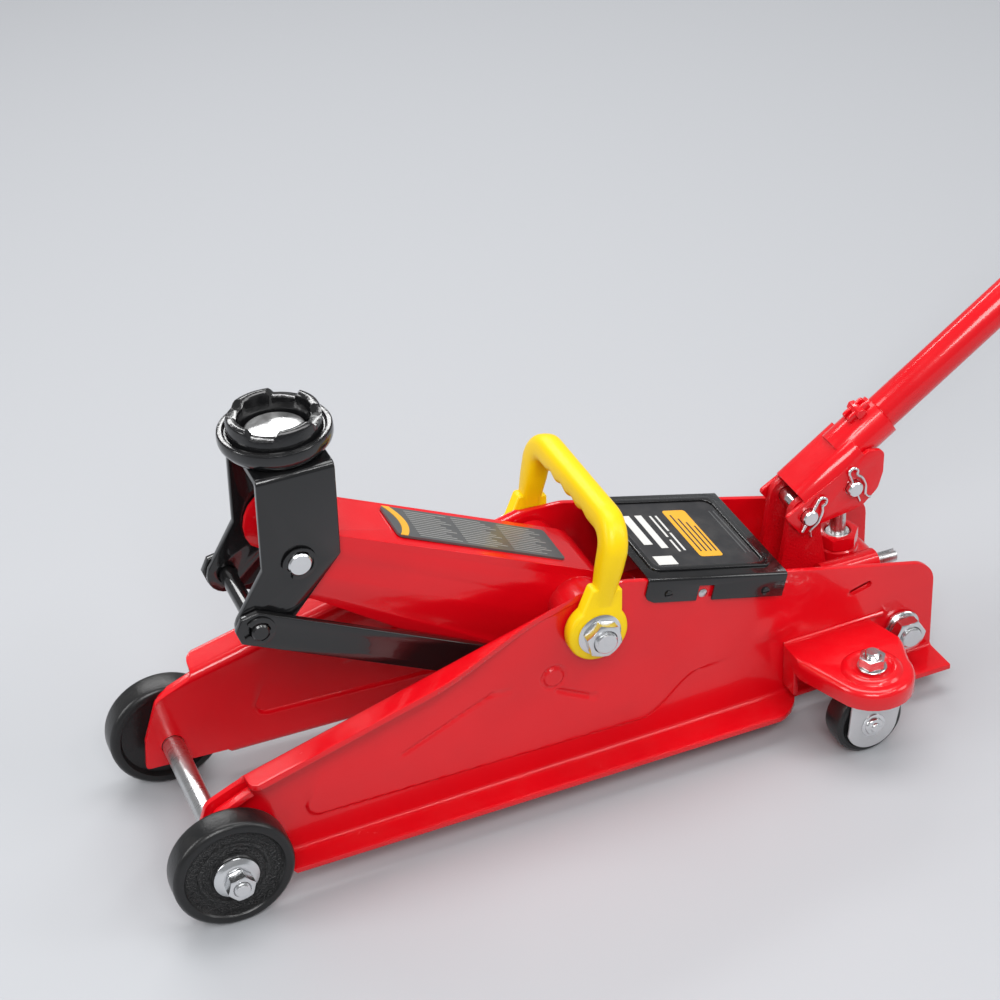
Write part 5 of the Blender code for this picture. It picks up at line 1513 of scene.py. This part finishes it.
def area_light(name, place, width, height, power):
    """A soft rectangular light aimed at the jack's middle."""
    clear_selection()
    bpy.ops.object.light_add(type="AREA", location=place)
    lamp = bpy.context.active_object
    lamp.name = name
    lamp.data.shape = "RECTANGLE"
    lamp.data.size = width
    lamp.data.size_y = height
    lamp.data.energy = power
    lamp.rotation_euler = (Vector(LIGHT_TARGET) - Vector(place)).to_track_quat("-Z", "Y").to_euler()


class JACK_OT_stage(bpy.types.Operator):
    """Lay the floor, hang the lights and set the camera"""

    bl_idname = "jack.stage"
    bl_label = "Studio"

    def execute(self, context):
        clear_selection()
        bpy.ops.mesh.primitive_plane_add(size=FLOOR_SIZE, location=(0, 0, 0))
        floor = added("studio_floor")
        surface = bpy.data.materials.new("studio floor")
        surface.use_nodes = True
        shader = surface.node_tree.nodes["Principled BSDF"]
        shader.inputs["Base Color"].default_value = FLOOR_COLOUR
        shader.inputs["Roughness"].default_value = 0.55
        floor.data.materials.append(surface)
        world = bpy.data.worlds.new("studio")
        world.use_nodes = True
        sky = world.node_tree.nodes["Background"]
        sky.inputs["Color"].default_value = SKY_COLOUR
        sky.inputs["Strength"].default_value = SKY_STRENGTH
        context.scene.world = world
        context.scene.view_settings.view_transform = "Standard"
        for light in LIGHTS:
            area_light(*light)
        clear_selection()
        bpy.ops.object.camera_add()
        camera = context.active_object
        camera.name = "studio_camera"
        camera.data.sensor_width = 36
        camera.data.lens = CAMERA_LENS
        camera.data.clip_start = 0.05
        azimuth, elevation = CAMERA_AZIMUTH, CAMERA_ELEVATION
        ahead = Vector((math.sin(azimuth) * math.cos(elevation), math.cos(azimuth) * math.cos(elevation),
                        -math.sin(elevation)))
        right = Vector((math.cos(azimuth), -math.sin(azimuth), 0))
        up = right.cross(ahead)
        turn = Matrix((right, up, -ahead)).transposed().to_4x4() @ Matrix.Rotation(CAMERA_ROLL, 4, "Z")
        target = CAMERA_TARGET + Vector((AXLE.x, 0, 0))
        camera.matrix_world = Matrix.Translation(target - ahead * CAMERA_DISTANCE) @ turn
        context.scene.camera = camera
        return {"FINISHED"}


# ---------------------------------------------------------------------------------------------------------
# Panel and registration


OPERATORS = (JACK_OT_side_plates, JACK_OT_wheels, JACK_OT_casters, JACK_OT_lift, JACK_OT_pivot_and_cover,
             JACK_OT_hydraulics, JACK_OT_handle, JACK_OT_stage)


class JACK_PT_sidebar(bpy.types.Panel):
    """Lists the jack's colours, sizes and building steps"""

    bl_idname = "JACK_PT_sidebar"
    bl_label = "Floor jack"
    bl_space_type = "VIEW_3D"
    bl_region_type = "UI"
    bl_category = "Jack"

    def draw(self, context):
        layout = self.layout
        for settings in (context.scene.jack_colours, context.scene.jack_sizes):
            column = layout.box().column()
            for name in settings.__annotations__:
                column.prop(settings, name)
        for operator in OPERATORS:
            layout.operator(operator.bl_idname)


CLASSES = (JackColours, JackSizes, *OPERATORS, JACK_PT_sidebar)


def register():
    """Register the settings, operators and panel."""
    for entry in CLASSES:
        bpy.utils.register_class(entry)
    bpy.types.Scene.jack_colours = PointerProperty(type=JackColours)
    bpy.types.Scene.jack_sizes = PointerProperty(type=JackSizes)


def unregister():
    """Remove what register added."""
    del bpy.types.Scene.jack_sizes
    del bpy.types.Scene.jack_colours
    for entry in reversed(CLASSES):
        bpy.utils.unregister_class(entry)


def main():
    """Build the jack and its studio."""
    register()
    for operator in OPERATORS:
        getattr(bpy.ops.jack, operator.bl_idname.split(".")[1])()


if __name__ == "__main__":
    main()
